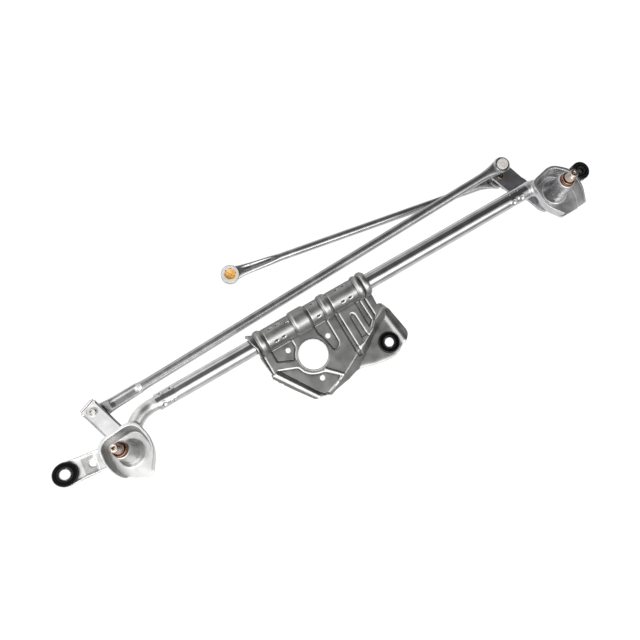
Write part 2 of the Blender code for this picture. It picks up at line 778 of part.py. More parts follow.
def main():
    for old in list(bpy.data.objects):
        bpy.data.objects.remove(old)
    galvanised = material("galvanised_steel", (0.72, 0.73, 0.74), 1.0, 0.32)
    pressed = material("pressed_steel", (0.52, 0.52, 0.52), 1.0, 0.42)
    cast = material("cast_aluminium", (0.66, 0.66, 0.66), 1.0, 0.45)
    zinc = material("bright_zinc", (0.8, 0.8, 0.81), 1.0, 0.35)
    dark = material("dark_plate", (0.14, 0.14, 0.15), 0.8, 0.5)
    rolled = material("rolled_steel", (0.6, 0.59, 0.58), 1.0, 0.3)
    shaft_steel = material("ground_steel", (0.78, 0.76, 0.73), 1.0, 0.2)
    copper = material("copper_ring", (0.55, 0.25, 0.12), 1.0, 0.3)
    bronze = material("sintered_bronze", (0.5, 0.34, 0.16), 1.0, 0.55)
    rubber = material("black_rubber", (0.02, 0.02, 0.02), 0.0, 0.6)
    nylon = material("white_nylon", (0.83, 0.8, 0.76), 0.0, 0.4)

    left_matrix = axis_frame(LEFT_PIVOT, LEFT_LEAN)
    right_matrix = axis_frame(RIGHT_PIVOT, RIGHT_LEAN)
    left_mount = empty("left_housing_frame", left_matrix)
    right_mount = empty("right_housing_frame", right_matrix)
    left_axis = empty("left_crank_axis", left_matrix)
    right_axis = empty("right_crank_axis", right_matrix)

    build_tube(galvanised)
    build_bracket(pressed)

    left_rim = (
        (-30, 31, 18),
        (26, 32, 16),
        (35.5, -8, 22),
        (15, -36, 2.5),
        (-1, -36, 2.5),
        (-22, -25, 16),
        (-33, 0, 14),
    )
    right_rim = (
        (-32, 25, 10),
        (8, 34, 12),
        (32, 14, 12),
        (33, -12, 12),
        (21, -36, 2.5),
        (-15, -36, 2.5),
        (-32, -15, 8),
    )
    left_neck = swept_rod(
        "left_neck",
        [Vector(p) * MM for p in LEFT_NECK_PATH],
        [9.5 * MM, 9 * MM, 9.5 * MM, 10.9 * MM, 10.9 * MM, SPIGOT_RADIUS, SPIGOT_RADIUS],
    )
    right_neck = swept_rod(
        "right_neck",
        [Vector(p) * MM for p in RIGHT_NECK_PATH],
        [11 * MM, 11.5 * MM, 10.9 * MM, 10.9 * MM, SPIGOT_RADIUS, SPIGOT_RADIUS],
    )
    left_ear = (LEFT_GROMMET, LEFT_EAR_ANGLE, 58 * MM, 34 * MM, LEFT_GROMMET_SIZES)
    right_ear = (RIGHT_GROMMET, RIGHT_EAR_ANGLE, 34 * MM, None, RIGHT_GROMMET_SIZES)
    build_housing("left", left_mount, left_rim, LEFT_LEVER_LEVEL, left_neck, left_ear, cast)
    build_housing("right", right_mount, right_rim, RIGHT_LEVER_LEVEL, right_neck, right_ear, cast)

    left_seat = flat_frame(LEFT_GROMMET, LEFT_EAR_ANGLE)
    bracket_seat = flat_frame(BRACKET_GROMMET, 0)
    build_grommet("left", left_seat, EAR_THICKNESS, LEFT_GROMMET_SIZES, rubber)
    build_grommet(
        "right", flat_frame(RIGHT_GROMMET, RIGHT_EAR_ANGLE), EAR_THICKNESS, RIGHT_GROMMET_SIZES, rubber
    )
    build_grommet("bracket", bracket_seat, SHEET, BRACKET_GROMMET_SIZES, rubber)
    build_spacer("left", left_seat, EAR_THICKNESS, LEFT_GROMMET_SIZES, zinc)
    build_spacer("bracket", bracket_seat, SHEET, BRACKET_GROMMET_SIZES, zinc)

    for side, mount, axis, level in (
        ("left", left_mount, left_axis, LEFT_LEVER_LEVEL),
        ("right", right_mount, right_axis, RIGHT_LEVER_LEVEL),
    ):
        build_bushes(side, mount, level, bronze)
        build_shaft(side, axis, level, shaft_steel)
        build_spindle_trim(side, axis, level, copper, zinc, rubber)

    build_left_lever(left_axis, zinc)
    build_right_lever(right_axis, dark)
    build_ball_stud("left_ball_stud", left_axis, LEFT_BALL, LEFT_LEVER_LEVEL, -1, shaft_steel)
    build_ball_stud("link_ball_stud", right_axis, RIGHT_BALL, RIGHT_BALL_LEVEL, 1, shaft_steel)
    build_ball_stud("motor_link_ball_stud", right_axis, MOTOR_LINK_BALL, RIGHT_BALL_LEVEL, -1, shaft_steel)

    drop = Vector((0, 0, BALL_DROP))
    left_centre = left_matrix @ (LEFT_BALL + Vector((0, 0, LEFT_LEVER_LEVEL)) - drop)
    right_centre = right_matrix @ (RIGHT_BALL + Vector((0, 0, RIGHT_BALL_LEVEL)) + drop)
    motor_centre = right_matrix @ (MOTOR_LINK_BALL + Vector((0, 0, RIGHT_BALL_LEVEL)) - drop)

    long_frame = empty("long_link_axis", link_frame(right_centre, left_centre))
    span = (left_centre - right_centre).length
    full, low = LINK_HEIGHT, 5 * MM
    sections = (
        (8 * MM, 19 * MM, full, 1 * MM),
        (16 * MM, 15.5 * MM, full, 0.5 * MM),
        (30 * MM, LONG_LINK_WIDTH, full, 0),
        (span - 74 * MM, LONG_LINK_WIDTH, full, 0),
        (span - 62 * MM, 15 * MM, low, 0),
        (span - 24 * MM, 15.5 * MM, low, 0),
        (span - 8 * MM, 19 * MM, full, -1 * MM),
    )
    build_link("long_link", long_frame, sections, LINK_WALL, ((0, -1), (span, 1)), rolled)
    build_socket("long_link_right_socket", long_frame, 0, -1, nylon)
    build_socket("long_link_left_socket", long_frame, span, 1, nylon)

    heading = math.radians(SHORT_LINK_ANGLE)
    reach = Vector((math.cos(heading), math.sin(heading), 0)) * SHORT_LINK_LENGTH
    short_frame = empty("short_link_axis", link_frame(motor_centre, motor_centre + reach))
    end = SHORT_LINK_LENGTH
    sections = (
        (8 * MM, 18 * MM, low, -1 * MM),
        (26 * MM, SHORT_LINK_WIDTH, full, 0),
        (end - 72 * MM, SHORT_LINK_WIDTH, full, 0),
        (end - 54 * MM, 14 * MM, low, 0),
        (end - 22 * MM, 16 * MM, low, 0),
        (end - 8 * MM, 19 * MM, full, -1 * MM),
    )
    build_link("short_link", short_frame, sections, LINK_WALL, ((0, 1), (end, 1)), rolled)
    build_socket("short_link_crank_socket", short_frame, 0, 1, nylon)
    build_socket("short_link_motor_socket", short_frame, end, 1, nylon)


main()
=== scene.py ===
"""Looks of a windshield wiper linkage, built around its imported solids.

Shapes are worked out in millimetres and scaled once, when a mesh is made. Frame positions are in metres.
"""

import json
import math

import bmesh
import bpy
import numpy as np
from mathutils import Matrix, Vector
from mathutils.geometry import delaunay_2d_cdt


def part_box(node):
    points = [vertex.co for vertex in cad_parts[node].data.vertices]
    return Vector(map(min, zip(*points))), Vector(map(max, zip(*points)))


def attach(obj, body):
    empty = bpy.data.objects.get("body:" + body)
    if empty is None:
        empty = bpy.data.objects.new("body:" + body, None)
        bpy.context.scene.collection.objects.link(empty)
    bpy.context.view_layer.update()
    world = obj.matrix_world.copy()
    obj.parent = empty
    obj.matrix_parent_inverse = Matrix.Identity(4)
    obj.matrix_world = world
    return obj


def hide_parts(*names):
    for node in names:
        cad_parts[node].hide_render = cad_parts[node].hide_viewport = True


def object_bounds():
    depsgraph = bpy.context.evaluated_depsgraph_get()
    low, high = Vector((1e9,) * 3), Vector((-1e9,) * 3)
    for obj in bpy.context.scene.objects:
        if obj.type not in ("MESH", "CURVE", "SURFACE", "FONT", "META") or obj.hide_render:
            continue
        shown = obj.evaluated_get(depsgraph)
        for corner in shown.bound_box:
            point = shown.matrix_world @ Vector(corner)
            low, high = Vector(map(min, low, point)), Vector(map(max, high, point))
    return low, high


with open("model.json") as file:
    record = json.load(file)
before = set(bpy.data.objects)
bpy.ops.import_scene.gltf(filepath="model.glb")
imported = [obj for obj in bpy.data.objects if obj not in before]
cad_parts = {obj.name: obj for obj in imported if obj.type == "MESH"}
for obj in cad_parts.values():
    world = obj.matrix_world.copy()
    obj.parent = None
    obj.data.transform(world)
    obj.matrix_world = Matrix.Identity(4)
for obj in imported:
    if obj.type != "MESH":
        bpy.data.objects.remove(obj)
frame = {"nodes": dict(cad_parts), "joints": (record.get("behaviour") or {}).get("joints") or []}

cad_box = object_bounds()
joints = {joint["name"]: joint for joint in frame["joints"]}

MM = 0.001
ROUND = 96
SHEET_SPACING = 0.8

# Tube
TUBE_RADIUS = 11.0
TUBE_WALL = 1.8
TUBE_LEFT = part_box("frame_tube")[0][0] / MM
TUBE_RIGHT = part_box("frame_tube")[1][0] / MM

# Heights along each pivot axis
CUP_BOTTOM = -4.0
CUP_FLOOR = 0.0
CUP_RIM = 17.0
BOSS_TOP = 39.0
SHAFT_TIP = 62.0
SHAFT_RADIUS = 6.0
LEFT_LEVER_LEVEL = -20.0
RIGHT_LEVER_LEVEL = -36.0
RIGHT_BALL_LEVEL = -50.0
LEVER_THICKNESS = 3.0
WASHER_THICKNESS = 1.4
GAP = 0.3

# Ball joints, in the frame of each crank
BALL_RADIUS = 8.0
BALL_DROP = 12.5
LEFT_BALL = (-24.2, 78.4)
RIGHT_BALL = (-23.3, 76.9)
MOTOR_LINK_BALL = (-26.8, 66.5)

# Bracket
SLEEVE_LEFT = -62.0
SLEEVE_RIGHT = 108.0
SLEEVE_RADIUS = 13.3
BRACKET_SHEET = 1.6
MOTOR_HOLE = (0.0, -46.3)
MOTOR_HOLE_RADIUS = 19.5
SCREW_HOLES = ((-25.6, -25.6), (29.2, -35.0), (-5.3, -78.6))
SCREW_HOLE_RADIUS = 3.25
GROMMET_SEAT = 11.3


# ---------------- frames


def frame_at(origin, x, z):
    return Matrix.LocRotScale(Vector(origin), Matrix((x, z.cross(x), z)).transposed(), None)


def upright(origin, z):
    """A frame at origin with the given Z, and X as near the world's as that allows."""
    z = Vector(z).normalized()
    return frame_at(origin, (Vector((1, 0, 0)) - z * z.x).normalized(), z)


def along(start, end):
    """A frame at start with X towards end, and Z as near the vertical as that allows."""
    x = (Vector(end) - Vector(start)).normalized()
    return frame_at(start, x, (Vector((0, 0, 1)) - x * x.z).normalized())


def turn_z(degrees):
    return Matrix.Rotation(math.radians(degrees), 4, "Z")


def shift(x, y, z):
    return Matrix.Translation(Vector((x, y, z)) * MM)


def box_centre(node):
    low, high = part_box(node)
    return [(a + b) / 2 for a, b in zip(low, high)]


LEFT_AXIS = upright(joints["left_pivot"]["pos_m"], joints["left_pivot"]["axis"])
RIGHT_AXIS = upright(joints["right_pivot"]["pos_m"], joints["right_pivot"]["axis"])
RIGHT_CENTRE = Vector(joints["long_link_swing"]["pos_m"])
MOTOR_CENTRE = Vector(joints["short_link_swing"]["pos_m"])
LEFT_CENTRE = LEFT_AXIS @ (Vector((*LEFT_BALL, LEFT_LEVER_LEVEL - BALL_DROP)) * MM)
LONG_FRAME = along(RIGHT_CENTRE, LEFT_CENTRE)
LONG_SPAN = (LEFT_CENTRE - RIGHT_CENTRE).length / MM
far_socket = box_centre("short_link_motor_socket")
SHORT_END = Vector((far_socket[0], far_socket[1], MOTOR_CENTRE.z))
SHORT_FRAME = along(MOTOR_CENTRE, SHORT_END)
SHORT_SPAN = (SHORT_END - MOTOR_CENTRE).length / MM
LEFT_SEAT = Matrix.Translation(box_centre("left_grommet")) @ turn_z(-7)
RIGHT_SEAT = Matrix.Translation(box_centre("right_grommet")) @ turn_z(188)
BRACKET_SEAT = Matrix.Translation(box_centre("bracket_grommet"))


# ---------------- shapes


def placed(name, data, matrix=None):
    made = bpy.data.objects.new(name, data)
    bpy.context.scene.collection.objects.link(made)
    if matrix is not None:
        made.matrix_world = matrix
    return made


def mesh_piece(name, points, faces, matrix=None, sharp=38, recalc=True):
    """An object from points in mm, shaded smooth across shallow angles."""
    mesh = bpy.data.meshes.new(name)
    mesh.from_pydata([tuple(p) for p in np.asarray(points, float) * MM], [], faces)
    if recalc:
        shaped = bmesh.new()
        shaped.from_mesh(mesh)
        bmesh.ops.recalc_face_normals(shaped, faces=shaped.faces)
        shaped.to_mesh(mesh)
        shaped.free()
    mesh.shade_smooth()
    mesh.set_sharp_from_angle(angle=math.radians(sharp))
    return placed(name, mesh, matrix)


def grid_faces(rows, columns, closed_rows=False, closed_columns=False):
    faces = []
    for i in range(rows if closed_rows else rows - 1):
        for j in range(columns if closed_columns else columns - 1):
            a, b = i, (i + 1) % rows
            c, d = j, (j + 1) % columns
            faces.append((a * columns + c, a * columns + d, b * columns + d, b * columns + c))
    return faces


def lofted(name, loops, matrix=None):
    """A solid through loops of equal length, closed by a cap at each end."""
    count = len(loops[0])
    points = [point for loop in loops for point in loop]
    faces = grid_faces(len(loops), count, closed_columns=True)
    faces.append(tuple(range(count)))
    faces.append(tuple(range(len(points) - count, len(points))))
    return mesh_piece(name, points, faces, matrix)


def turned(name, profile, matrix=None, steps=ROUND, stretch=1.0, ripple=None, sharp=38):
    """A solid of revolution; `ripple(radius, z, angle)` may cut splines or threads into it."""
    points = []
    rows = []
    for radius, z in profile:
        if radius == 0:
            rows.append([len(points)] * steps)
            points.append((0, 0, z))
            continue
        rows.append(list(range(len(points), len(points) + steps)))
        for i in range(steps):
            angle = 2 * math.pi * (i + 0.5) / steps
            reach = ripple(radius, z, angle) if ripple else radius
            points.append((stretch * reach * math.cos(angle), reach * math.sin(angle), z))
    ring = profile[0][0] > 0
    faces = []
    for k in range(len(rows) if ring else len(rows) - 1):
        low, high = rows[k], rows[(k + 1) % len(rows)]
        for i in range(steps):
            j = (i + 1) % steps
            faces.append(tuple(dict.fromkeys((low[i], low[j], high[j], high[i]))))
    return mesh_piece(name, points, faces, matrix, sharp)


def rounded(corners, steps=8):
    """An outline through corners (x, y, cut); each corner becomes a curve that starts `cut` before it."""
    outline = []
    count = len(corners)
    for i, (x, y, cut_back) in enumerate(corners):
        here = Vector((x, y))
        before = Vector(corners[i - 1][:2]) - here
        after = Vector(corners[(i + 1) % count][:2]) - here
        if cut_back == 0:
            outline.append((x, y))
            continue
        start = here + before.normalized() * min(cut_back, 0.49 * before.length)
        end = here + after.normalized() * min(cut_back, 0.49 * after.length)
        for k in range(steps + 1):
            t = k / steps
            outline.append(tuple(start * (1 - t) ** 2 + here * 2 * t * (1 - t) + end * t * t))
    return outline


def circle(x, y, radius, steps=32):
    turns = [2 * math.pi * k / steps for k in range(steps)]
    return [(x + radius * math.cos(a), y + radius * math.sin(a)) for a in turns]


def smoothstep(t):
    t = np.clip(t, 0, 1)
    return t * t * (3 - 2 * t)


def line_distance(x, y, line):
    """Distance from points to an open line of corners."""
    best = np.full(x.shape, 1e9)
    for (ax, ay), (bx, by) in zip(line[:-1], line[1:]):
        ex, ey = bx - ax, by - ay
        t = np.clip(((x - ax) * ex + (y - ay) * ey) / (ex * ex + ey * ey), 0, 1)
        best = np.minimum(best, np.hypot(x - ax - t * ex, y - ay - t * ey))
    return best


def inside_distance(x, y, outline):
    """Distance to an outline, positive inside it and negative outside."""
    inside = np.zeros(x.shape, bool)
    for (ax, ay), (bx, by) in zip(outline, outline[1:] + outline[:1]):
        rise = by - ay if by != ay else 1e-9
        inside ^= ((ay > y) != (by > y)) & (x < ax + (y - ay) * (bx - ax) / rise)
    best = line_distance(x, y, list(outline) + [outline[0]])
    return np.where(inside, best, -best)


def dense(outline, spacing):
    """The outline with points added so that no stretch is longer than the spacing."""
    points = []
    for (ax, ay), (bx, by) in zip(outline, outline[1:] + outline[:1]):
        parts = max(1, math.ceil(math.hypot(bx - ax, by - ay) / spacing))
        points += [(ax + (bx - ax) * k / parts, ay + (by - ay) * k / parts) for k in range(parts)]
    return points


def pressed_sheet(name, outline, holes, lift, thickness, spacing, matrix=None):
    """A pressed sheet: a flat blank with holes, meshed evenly, and `lift` turns it into its shape."""
    loops = [dense(outline, spacing)] + [dense(hole, spacing) for hole in holes]
    xs = [p[0] for p in outline]
    ys = [p[1] for p in outline]
    step_y = spacing * math.sqrt(3) / 2
    rows = np.arange(min(ys) + step_y / 2, max(ys), step_y)
    columns = np.arange(min(xs) + spacing / 2, max(xs), spacing)
    x, y = np.meshgrid(columns, rows)
    x = x + (np.arange(len(rows)) % 2)[:, None] * spacing / 2
    x, y = x.ravel(), y.ravel()
    room = inside_distance(x, y, outline)
    for hole in holes:
        room = np.minimum(room, -inside_distance(x, y, hole))
    keep = room > 0.5 * spacing
    blank = []
    edges = []
    for loop in loops:
        first = len(blank)
        blank += loop
        edges += [(first + k, first + (k + 1) % len(loop)) for k in range(len(loop))]
    blank += list(zip(x[keep].tolist(), y[keep].tolist()))
    flat = delaunay_2d_cdt([Vector(p) for p in blank], edges, [], 1, 1e-5)
    points = np.array([tuple(v) for v in flat[0]])
    faces = [tuple(face) for face in flat[2]]
    middles = np.array([points[list(face)].mean(axis=0) for face in faces])
    real = np.ones(len(faces), bool)
    for hole in holes:
        real &= inside_distance(middles[:, 0], middles[:, 1], hole) < 0
    faces = [face for face, kept in zip(faces, real) if kept]
    shaped = np.stack(lift(points[:, 0], points[:, 1]), axis=1)
    piece = mesh_piece(name, shaped, faces, matrix, 60, recalc=False)
    wall = piece.modifiers.new("thickness", "SOLIDIFY")
    wall.thickness = thickness * MM
    return piece


def joined(name, pieces):
    """One object from several that share a frame."""
    with bpy.context.temp_override(
        active_object=pieces[0], selected_objects=pieces, selected_editable_objects=pieces
    ):
        bpy.ops.object.join()
    pieces[0].name = name
    return pieces[0]


def apply_modifiers(piece):
    """Replaces the mesh by what its modifiers make of it."""
    graph = bpy.context.evaluated_depsgraph_get()
    shaped = bpy.data.meshes.new_from_object(piece.evaluated_get(graph))
    piece.modifiers.clear()
    piece.data = shaped
    return piece


def combine(target, operation, *tools):
    for tool in tools:
        step = target.modifiers.new(tool.name, "BOOLEAN")
        step.operation = operation
        step.solver = "EXACT"
        step.object = tool
    bpy.context.view_layer.update()
    apply_modifiers(target)
    for tool in tools:
        bpy.data.objects.remove(tool)


# ---------------- materials


def add_node(tree, kind, inputs=None, **settings):
    made = tree.nodes.new("ShaderNode" + kind)
    for key, value in settings.items():
        setattr(made, key, value)
    for socket, value in (inputs or {}).items():
        if isinstance(value, bpy.types.NodeSocket):
            tree.links.new(value, made.inputs[socket])
        else:
            made.inputs[socket].default_value = value
    return made


def maths(tree, operation, a, b=0.0):
    return add_node(tree, "Math", {0: a, 1: b}, operation=operation).outputs[0]


def times(tree, product, *factors):
    for factor in factors:
        product = maths(tree, "MULTIPLY", product, factor)
    return product


def remap(tree, value, low, high, to_low, to_high):
    inputs = {"Value": value, "From Min": low, "From Max": high, "To Min": to_low, "To Max": to_high}
    return add_node(tree, "MapRange", inputs).outputs[0]


def noise(tree, place, scale, detail=3.0, stretch=(1, 1, 1)):
    vector = add_node(tree, "Mapping", {"Vector": place, "Scale": stretch}).outputs[0]
    return add_node(tree, "TexNoise", {"Vector": vector, "Scale": scale, "Detail": detail}).outputs[0]


# Ranges that the patterns are read over: noise, edge sharpness, and how far a face leans from level, over
# which steep faces get painted shade
NOISE_RANGE = (0.3, 0.7)
EDGE_RANGE = (0.505, 0.56)
LEAN_RANGE = (0.55, 0.95)
PATCH_SCALE = 70
ROUGH_SPREAD = 0.12
WIDE_RECESS = 5


def finish_look(
    name, colour, roughness, metallic=1.0, grain=900, stretch=(1, 1, 1), depth=0.12, spread=0.15, edge_wear_and_glint=0.25,
    recess_shade=0.35, coat=0.0, recess=3.0, wall_shade=1.0, specular=0.5,
):
    """A surface with fine grain and patchy tone, worn edges that also serve as painted highlights, and
    painted shade in recesses and on steep side walls.
    """
    made = bpy.data.materials.new(name)
    made.use_nodes = True
    tree = made.node_tree
    shader = tree.nodes["Principled BSDF"]
    source = add_node(tree, "TexCoord").outputs
    place = source["Object"]
    fine = noise(tree, place, grain, 4.0, stretch)
    patches = noise(tree, place, PATCH_SCALE, 4.0)
    blotches = noise(tree, place, PATCH_SCALE / 4, 2.0)
    bend = add_node(tree, "NewGeometry").outputs["Pointiness"]
    edge = remap(tree, bend, *EDGE_RANGE, 0, 1)
    samples = 24 if recess > WIDE_RECESS else 8
    # Painted shade: ambient occlusion within `recess` darkens the colour in creases and where parts crowd
    # together
    shelter = add_node(tree, "AmbientOcclusion", {"Distance": recess * MM}, samples=samples).outputs["AO"]
    tone = remap(tree, patches, *NOISE_RANGE, 1 - spread, 1 + spread)
    for pattern in (blotches, fine):
        tone = times(tree, tone, remap(tree, pattern, *NOISE_RANGE, 1 - spread / 2, 1 + spread / 2))
    # Worn edges, brightened also to stand in for highlights on sharp edges
    tone = maths(tree, "ADD", tone, times(tree, edge, edge_wear_and_glint))
    # Painted shade: faces that lean away from level are darkened towards `wall_shade`
    level = add_node(tree, "SeparateXYZ", {"Vector": source["Normal"]}).outputs["Z"]
    painted_recess_shade, painted_wall_shade = remap(tree, shelter, 0, 1, 1 - recess_shade, 1), remap(tree, level, *LEAN_RANGE, wall_shade, 1)
    tone = times(tree, tone, painted_recess_shade, painted_wall_shade)
    base = add_node(tree, "VectorMath", {0: colour, "Scale": tone}, operation="SCALE").outputs[0]
    tree.links.new(base, shader.inputs["Base Color"])
    smooth, coarse = roughness * (1 - ROUGH_SPREAD), roughness * (1 + ROUGH_SPREAD)
    rough = remap(tree, patches, 0.25, 0.75, smooth, coarse)
    rough = maths(tree, "SUBTRACT", rough, times(tree, edge, 0.3 * roughness))
    tree.links.new(rough, shader.inputs["Roughness"])
    bump = add_node(tree, "Bump", {"Height": fine, "Strength": depth, "Distance": 0.3 * MM}).outputs[0]
    tree.links.new(bump, shader.inputs["Normal"])
    for socket, value in (("Metallic", metallic), ("Coat Weight", coat), ("Specular IOR Level", specular)):
        shader.inputs[socket].default_value = value
    return made


# How each kind of piece was made: drawn lengthways, cast, turned, or moulded
DRAWN = dict(grain=160, stretch=(0.05, 8, 8), depth=0.04, edge_wear_and_glint=0)
CAST = dict(grain=1100, depth=0.2)
TURNED = dict(grain=240, stretch=(1, 1, 12), depth=0.08)
MOULDED = dict(metallic=0.0, grain=500, depth=0.1)

LOOKS = {
    "tube": finish_look("drawn_zinc_tube", (0.76, 0.76, 0.77), 0.14, wall_shade=0.6, **DRAWN),
    # Painted shade beside the ribs and pads and on the steep walls
    "bracket": finish_look(
        "pressed_zinc_sheet", (0.52, 0.52, 0.51), 0.4, grain=1500, depth=0.1, edge_wear_and_glint=0.4, recess=5, recess_shade=0.6,
        wall_shade=0.35,
    ),
    "left_casting": finish_look("bright_casting", (0.9, 0.9, 0.89), 0.44, edge_wear_and_glint=0.1, wall_shade=0.6, **CAST),
    "right_casting": finish_look("satin_casting", (0.92, 0.92, 0.93), 0.4, edge_wear_and_glint=0.15, wall_shade=0.55, **CAST),
    # Wide painted shade darkens the cups that sit under the levers
    "link": finish_look(
        "rolled_zinc_strip", (0.63, 0.63, 0.64), 0.27, recess=14, recess_shade=0.5, wall_shade=0.6, **DRAWN
    ),
    "bright_lever": finish_look(
        "bright_zinc_plate", (0.78, 0.78, 0.78), 0.34, grain=1300, depth=0.1, edge_wear_and_glint=0, wall_shade=0.35
    ),
    "dark_lever": finish_look(
        "phosphated_plate", (0.45, 0.45, 0.47), 0.4, metallic=0.9, grain=1300, depth=0.1, edge_wear_and_glint=0.5, wall_shade=0.5
    ),
    "spindle": finish_look("ground_spindle", (0.62, 0.52, 0.45), 0.14, recess=2.0, wall_shade=0.7, **TURNED),
    # Painted shade on the ring's steep sides and in its groove
    "copper": finish_look("copper_ring", (0.6, 0.31, 0.2), 0.14, recess_shade=0.8, wall_shade=0.25, **TURNED),
    "bronze": finish_look("oiled_bronze", (0.5, 0.34, 0.18), 0.5, grain=1600, depth=0.3),
    "steel": finish_look("zinc_spacer", (0.78, 0.78, 0.8), 0.25, **TURNED),
    "stud": finish_look("polished_stud", (0.74, 0.72, 0.7), 0.14, grain=240, stretch=(1, 1, 12), depth=0.05),
    # Painted shade: a darkened copy of the polished stud for the right-hand studs, which sit in shade
    "shaded_stud": finish_look("shade_darkened_stud", (0.3, 0.25, 0.21), 0.25, grain=240, depth=0.05, recess_shade=0.7),
    # Painted highlights: the rubber's ring edges are brightened to show glints
    "rubber": finish_look(
        "moulded_rubber", (0.004, 0.004, 0.004), 0.3, metallic=0.0, grain=1400, depth=0.2, edge_wear_and_glint=6.0,
        specular=0.15,
    ),
    "nylon": finish_look("white_nylon", (0.78, 0.75, 0.71), 0.38, spread=0.06, edge_wear_and_glint=0.05, **MOULDED),
    # Painted shadow: white nylon darkened almost to black, with strong painted shade, for a socket sitting in
    # shadow under the lever
    "shade_darkened_nylon": finish_look("shade_darkened_nylon", (0.2, 0.18, 0.16), 0.35, recess=16, recess_shade=0.9, **MOULDED),
    "grease": finish_look(
        "orange_grease", (0.9, 0.5, 0.12), 0.3, metallic=0.0, grain=200, depth=0.2, recess_shade=0.1, coat=0.4
    ),
}


def dress(piece, body, look, slot, *nodes):
    """Gives a piece its look and its body, and hides the solid that it stands for. The record's finish,
    `slot`, is not used.
    """
    piece.data.materials.clear()
    piece.data.materials.append(LOOKS[look])
    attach(piece, body)
    if nodes:
        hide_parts(*nodes)
    return piece


# ---------------- tube

# Stakes that hold the castings' spigots: distance from the tube's end, angle over the top from +Y,
# radius, depth
LEFT_STAKES = ((8.7, 50, 2.4, 1.1), (23, 51, 2.4, 1.1), (8.2, 132, 2.8, 1.3), (21, 144, 2.8, 1.3))
RIGHT_STAKES = ((14.6, 58, 1.5, 0.7), (27.3, 58, 1.5, 0.7), (13, 128, 3.2, 1.4), (26, 130, 3.2, 1.4))
CRIMP_LENGTH = 24
CRIMP_FADE = 12
CRIMP_DEPTH = 0.3
FINE_ZONE = 40
END_ZONE = 60


def stake_depth(from_end, angle, stakes):
    """Dents with a raised collar, as a punch leaves them."""
    depth = np.zeros(from_end.shape)
    for place, degrees, radius, deep in stakes:
        off = np.hypot(from_end - place, TUBE_RADIUS * (angle - math.radians(degrees))) / radius
        depth += deep * (1 - smoothstep(off / 1.1)) - 0.25 * deep * np.exp(-(((off - 1.35) / 0.3) ** 2))
    return depth


def build_tube():
    ends = np.concatenate([np.arange(0, FINE_ZONE, 0.7), np.arange(FINE_ZONE, END_ZONE, 4)])
    middle = np.linspace(TUBE_LEFT + END_ZONE, TUBE_RIGHT - END_ZONE, 40)
    stations = np.concatenate([TUBE_LEFT + ends, middle, (TUBE_RIGHT - ends)[::-1]])
    angles = np.radians(np.arange(0, 360, 360 / 144))
    x, turn = np.meshgrid(stations, angles, indexing="ij")
    radius = np.full(x.shape, TUBE_RADIUS)
    radius -= stake_depth(x - TUBE_LEFT, turn, LEFT_STAKES)
    radius -= stake_depth(TUBE_RIGHT - x, turn, RIGHT_STAKES)
    near = np.minimum(x - TUBE_LEFT, TUBE_RIGHT - x)
    crimp = 1 - smoothstep((near - CRIMP_LENGTH) / CRIMP_FADE)
    radius -= CRIMP_DEPTH * crimp * (0.5 + 0.5 * np.cos(3 * turn + 0.1 * near))
    outer = np.stack([x, radius * np.cos(turn), radius * np.sin(turn)], axis=2)
    bore = outer.copy()
    bore[:, :, 1:] *= (TUBE_RADIUS - TUBE_WALL) / TUBE_RADIUS
    rings = np.concatenate([outer, bore[::-1]], axis=0)
    faces = grid_faces(rings.shape[0], rings.shape[1], closed_rows=True, closed_columns=True)
    tube = mesh_piece("galvanised_tube", rings.reshape(-1, 3), faces)
    dress(tube, "frame", "tube", "tube", "frame_tube")


# ---------------- bracket

EMBOSS = 2.4
LOW_LEVEL = -8.2
FILLET = 3.2
SKIRT_END = -SLEEVE_RADIUS - FILLET
FILLET_RUN = FILLET * math.pi / 2
SKIRT_RUN = FILLET_RUN - LOW_LEVEL - FILLET
SLEEVE_SPAN = math.radians(205)
SLEEVE_RUN = SKIRT_RUN + SLEEVE_RADIUS * SLEEVE_SPAN
PLATFORM_DROP = 11.8

# Raised bands round the sleeve: first and last X, and height
SLEEVE_BANDS = ((-56, -47, 2.2), (-4.5, 17.5, 2.0), (38.5, 49.5, 2.2), (91, 98, 2.0), (99.5, 108, 2.6))

# Stakes that grip the tube: the size of each, then X, and Y on the sleeve
STAKE_LENGTH = 3.0
STAKE_WIDTH = 1.6
STAKE_DEPTH = 2.0
SLEEVE_STAKES = (
    (-34, 8), (-23.5, 8), (-11.5, 4.5), (-33.5, -8), (-23, -8),
    (29, 9.5), (29.5, -7.5), (66, 9.5), (77, 9.5), (66.5, -7), (77.5, -7),
)

# Recessed pads pressed into the plate, as corners (x, y, cut)
PADS = (
    ((-45.5, -9, 0), (-14.8, -9, 0), (-14.2, -25.5, 2), (-23.2, -41.5, 2), (-45.5, -32, 3)),
    (
        (19.5, -9, 0), (38.6, -9, 0), (38.6, -50, 5), (33, -55, 4),
        (26.5, -55, 3), (25.2, -47, 3), (22, -32, 4), (19.5, -27, 3),
    ),
    (
        (-51, -41.2, 2), (-25, -51.5, 3), (-22.8, -59, 4), (-15.5, -67, 5), (-5, -71.5, 5),
        (1.5, -72.2, 3), (17.5, -87.5, 3), (6, -95, 4), (-12, -99.5, 3), (-19.5, -92, 3),
    ),
    ((50.5, -9, 0), (56.6, -9, 0), (57.4, -78, 0), (50.5, -78, 0)),
    ((67.2, -60, 0), (67.2, -27, 4), (71.5, -24, 4), (75.2, -27, 4), (76, -60, 0)),
    ((83, -9, 0), (90.2, -9, 0), (91.3, -46, 1), (85, -52, 0), (83, -52, 0)),
    ((95.6, -9, 0), (97.8, -9, 0), (98.6, -42, 1), (96.6, -44, 0)),
)

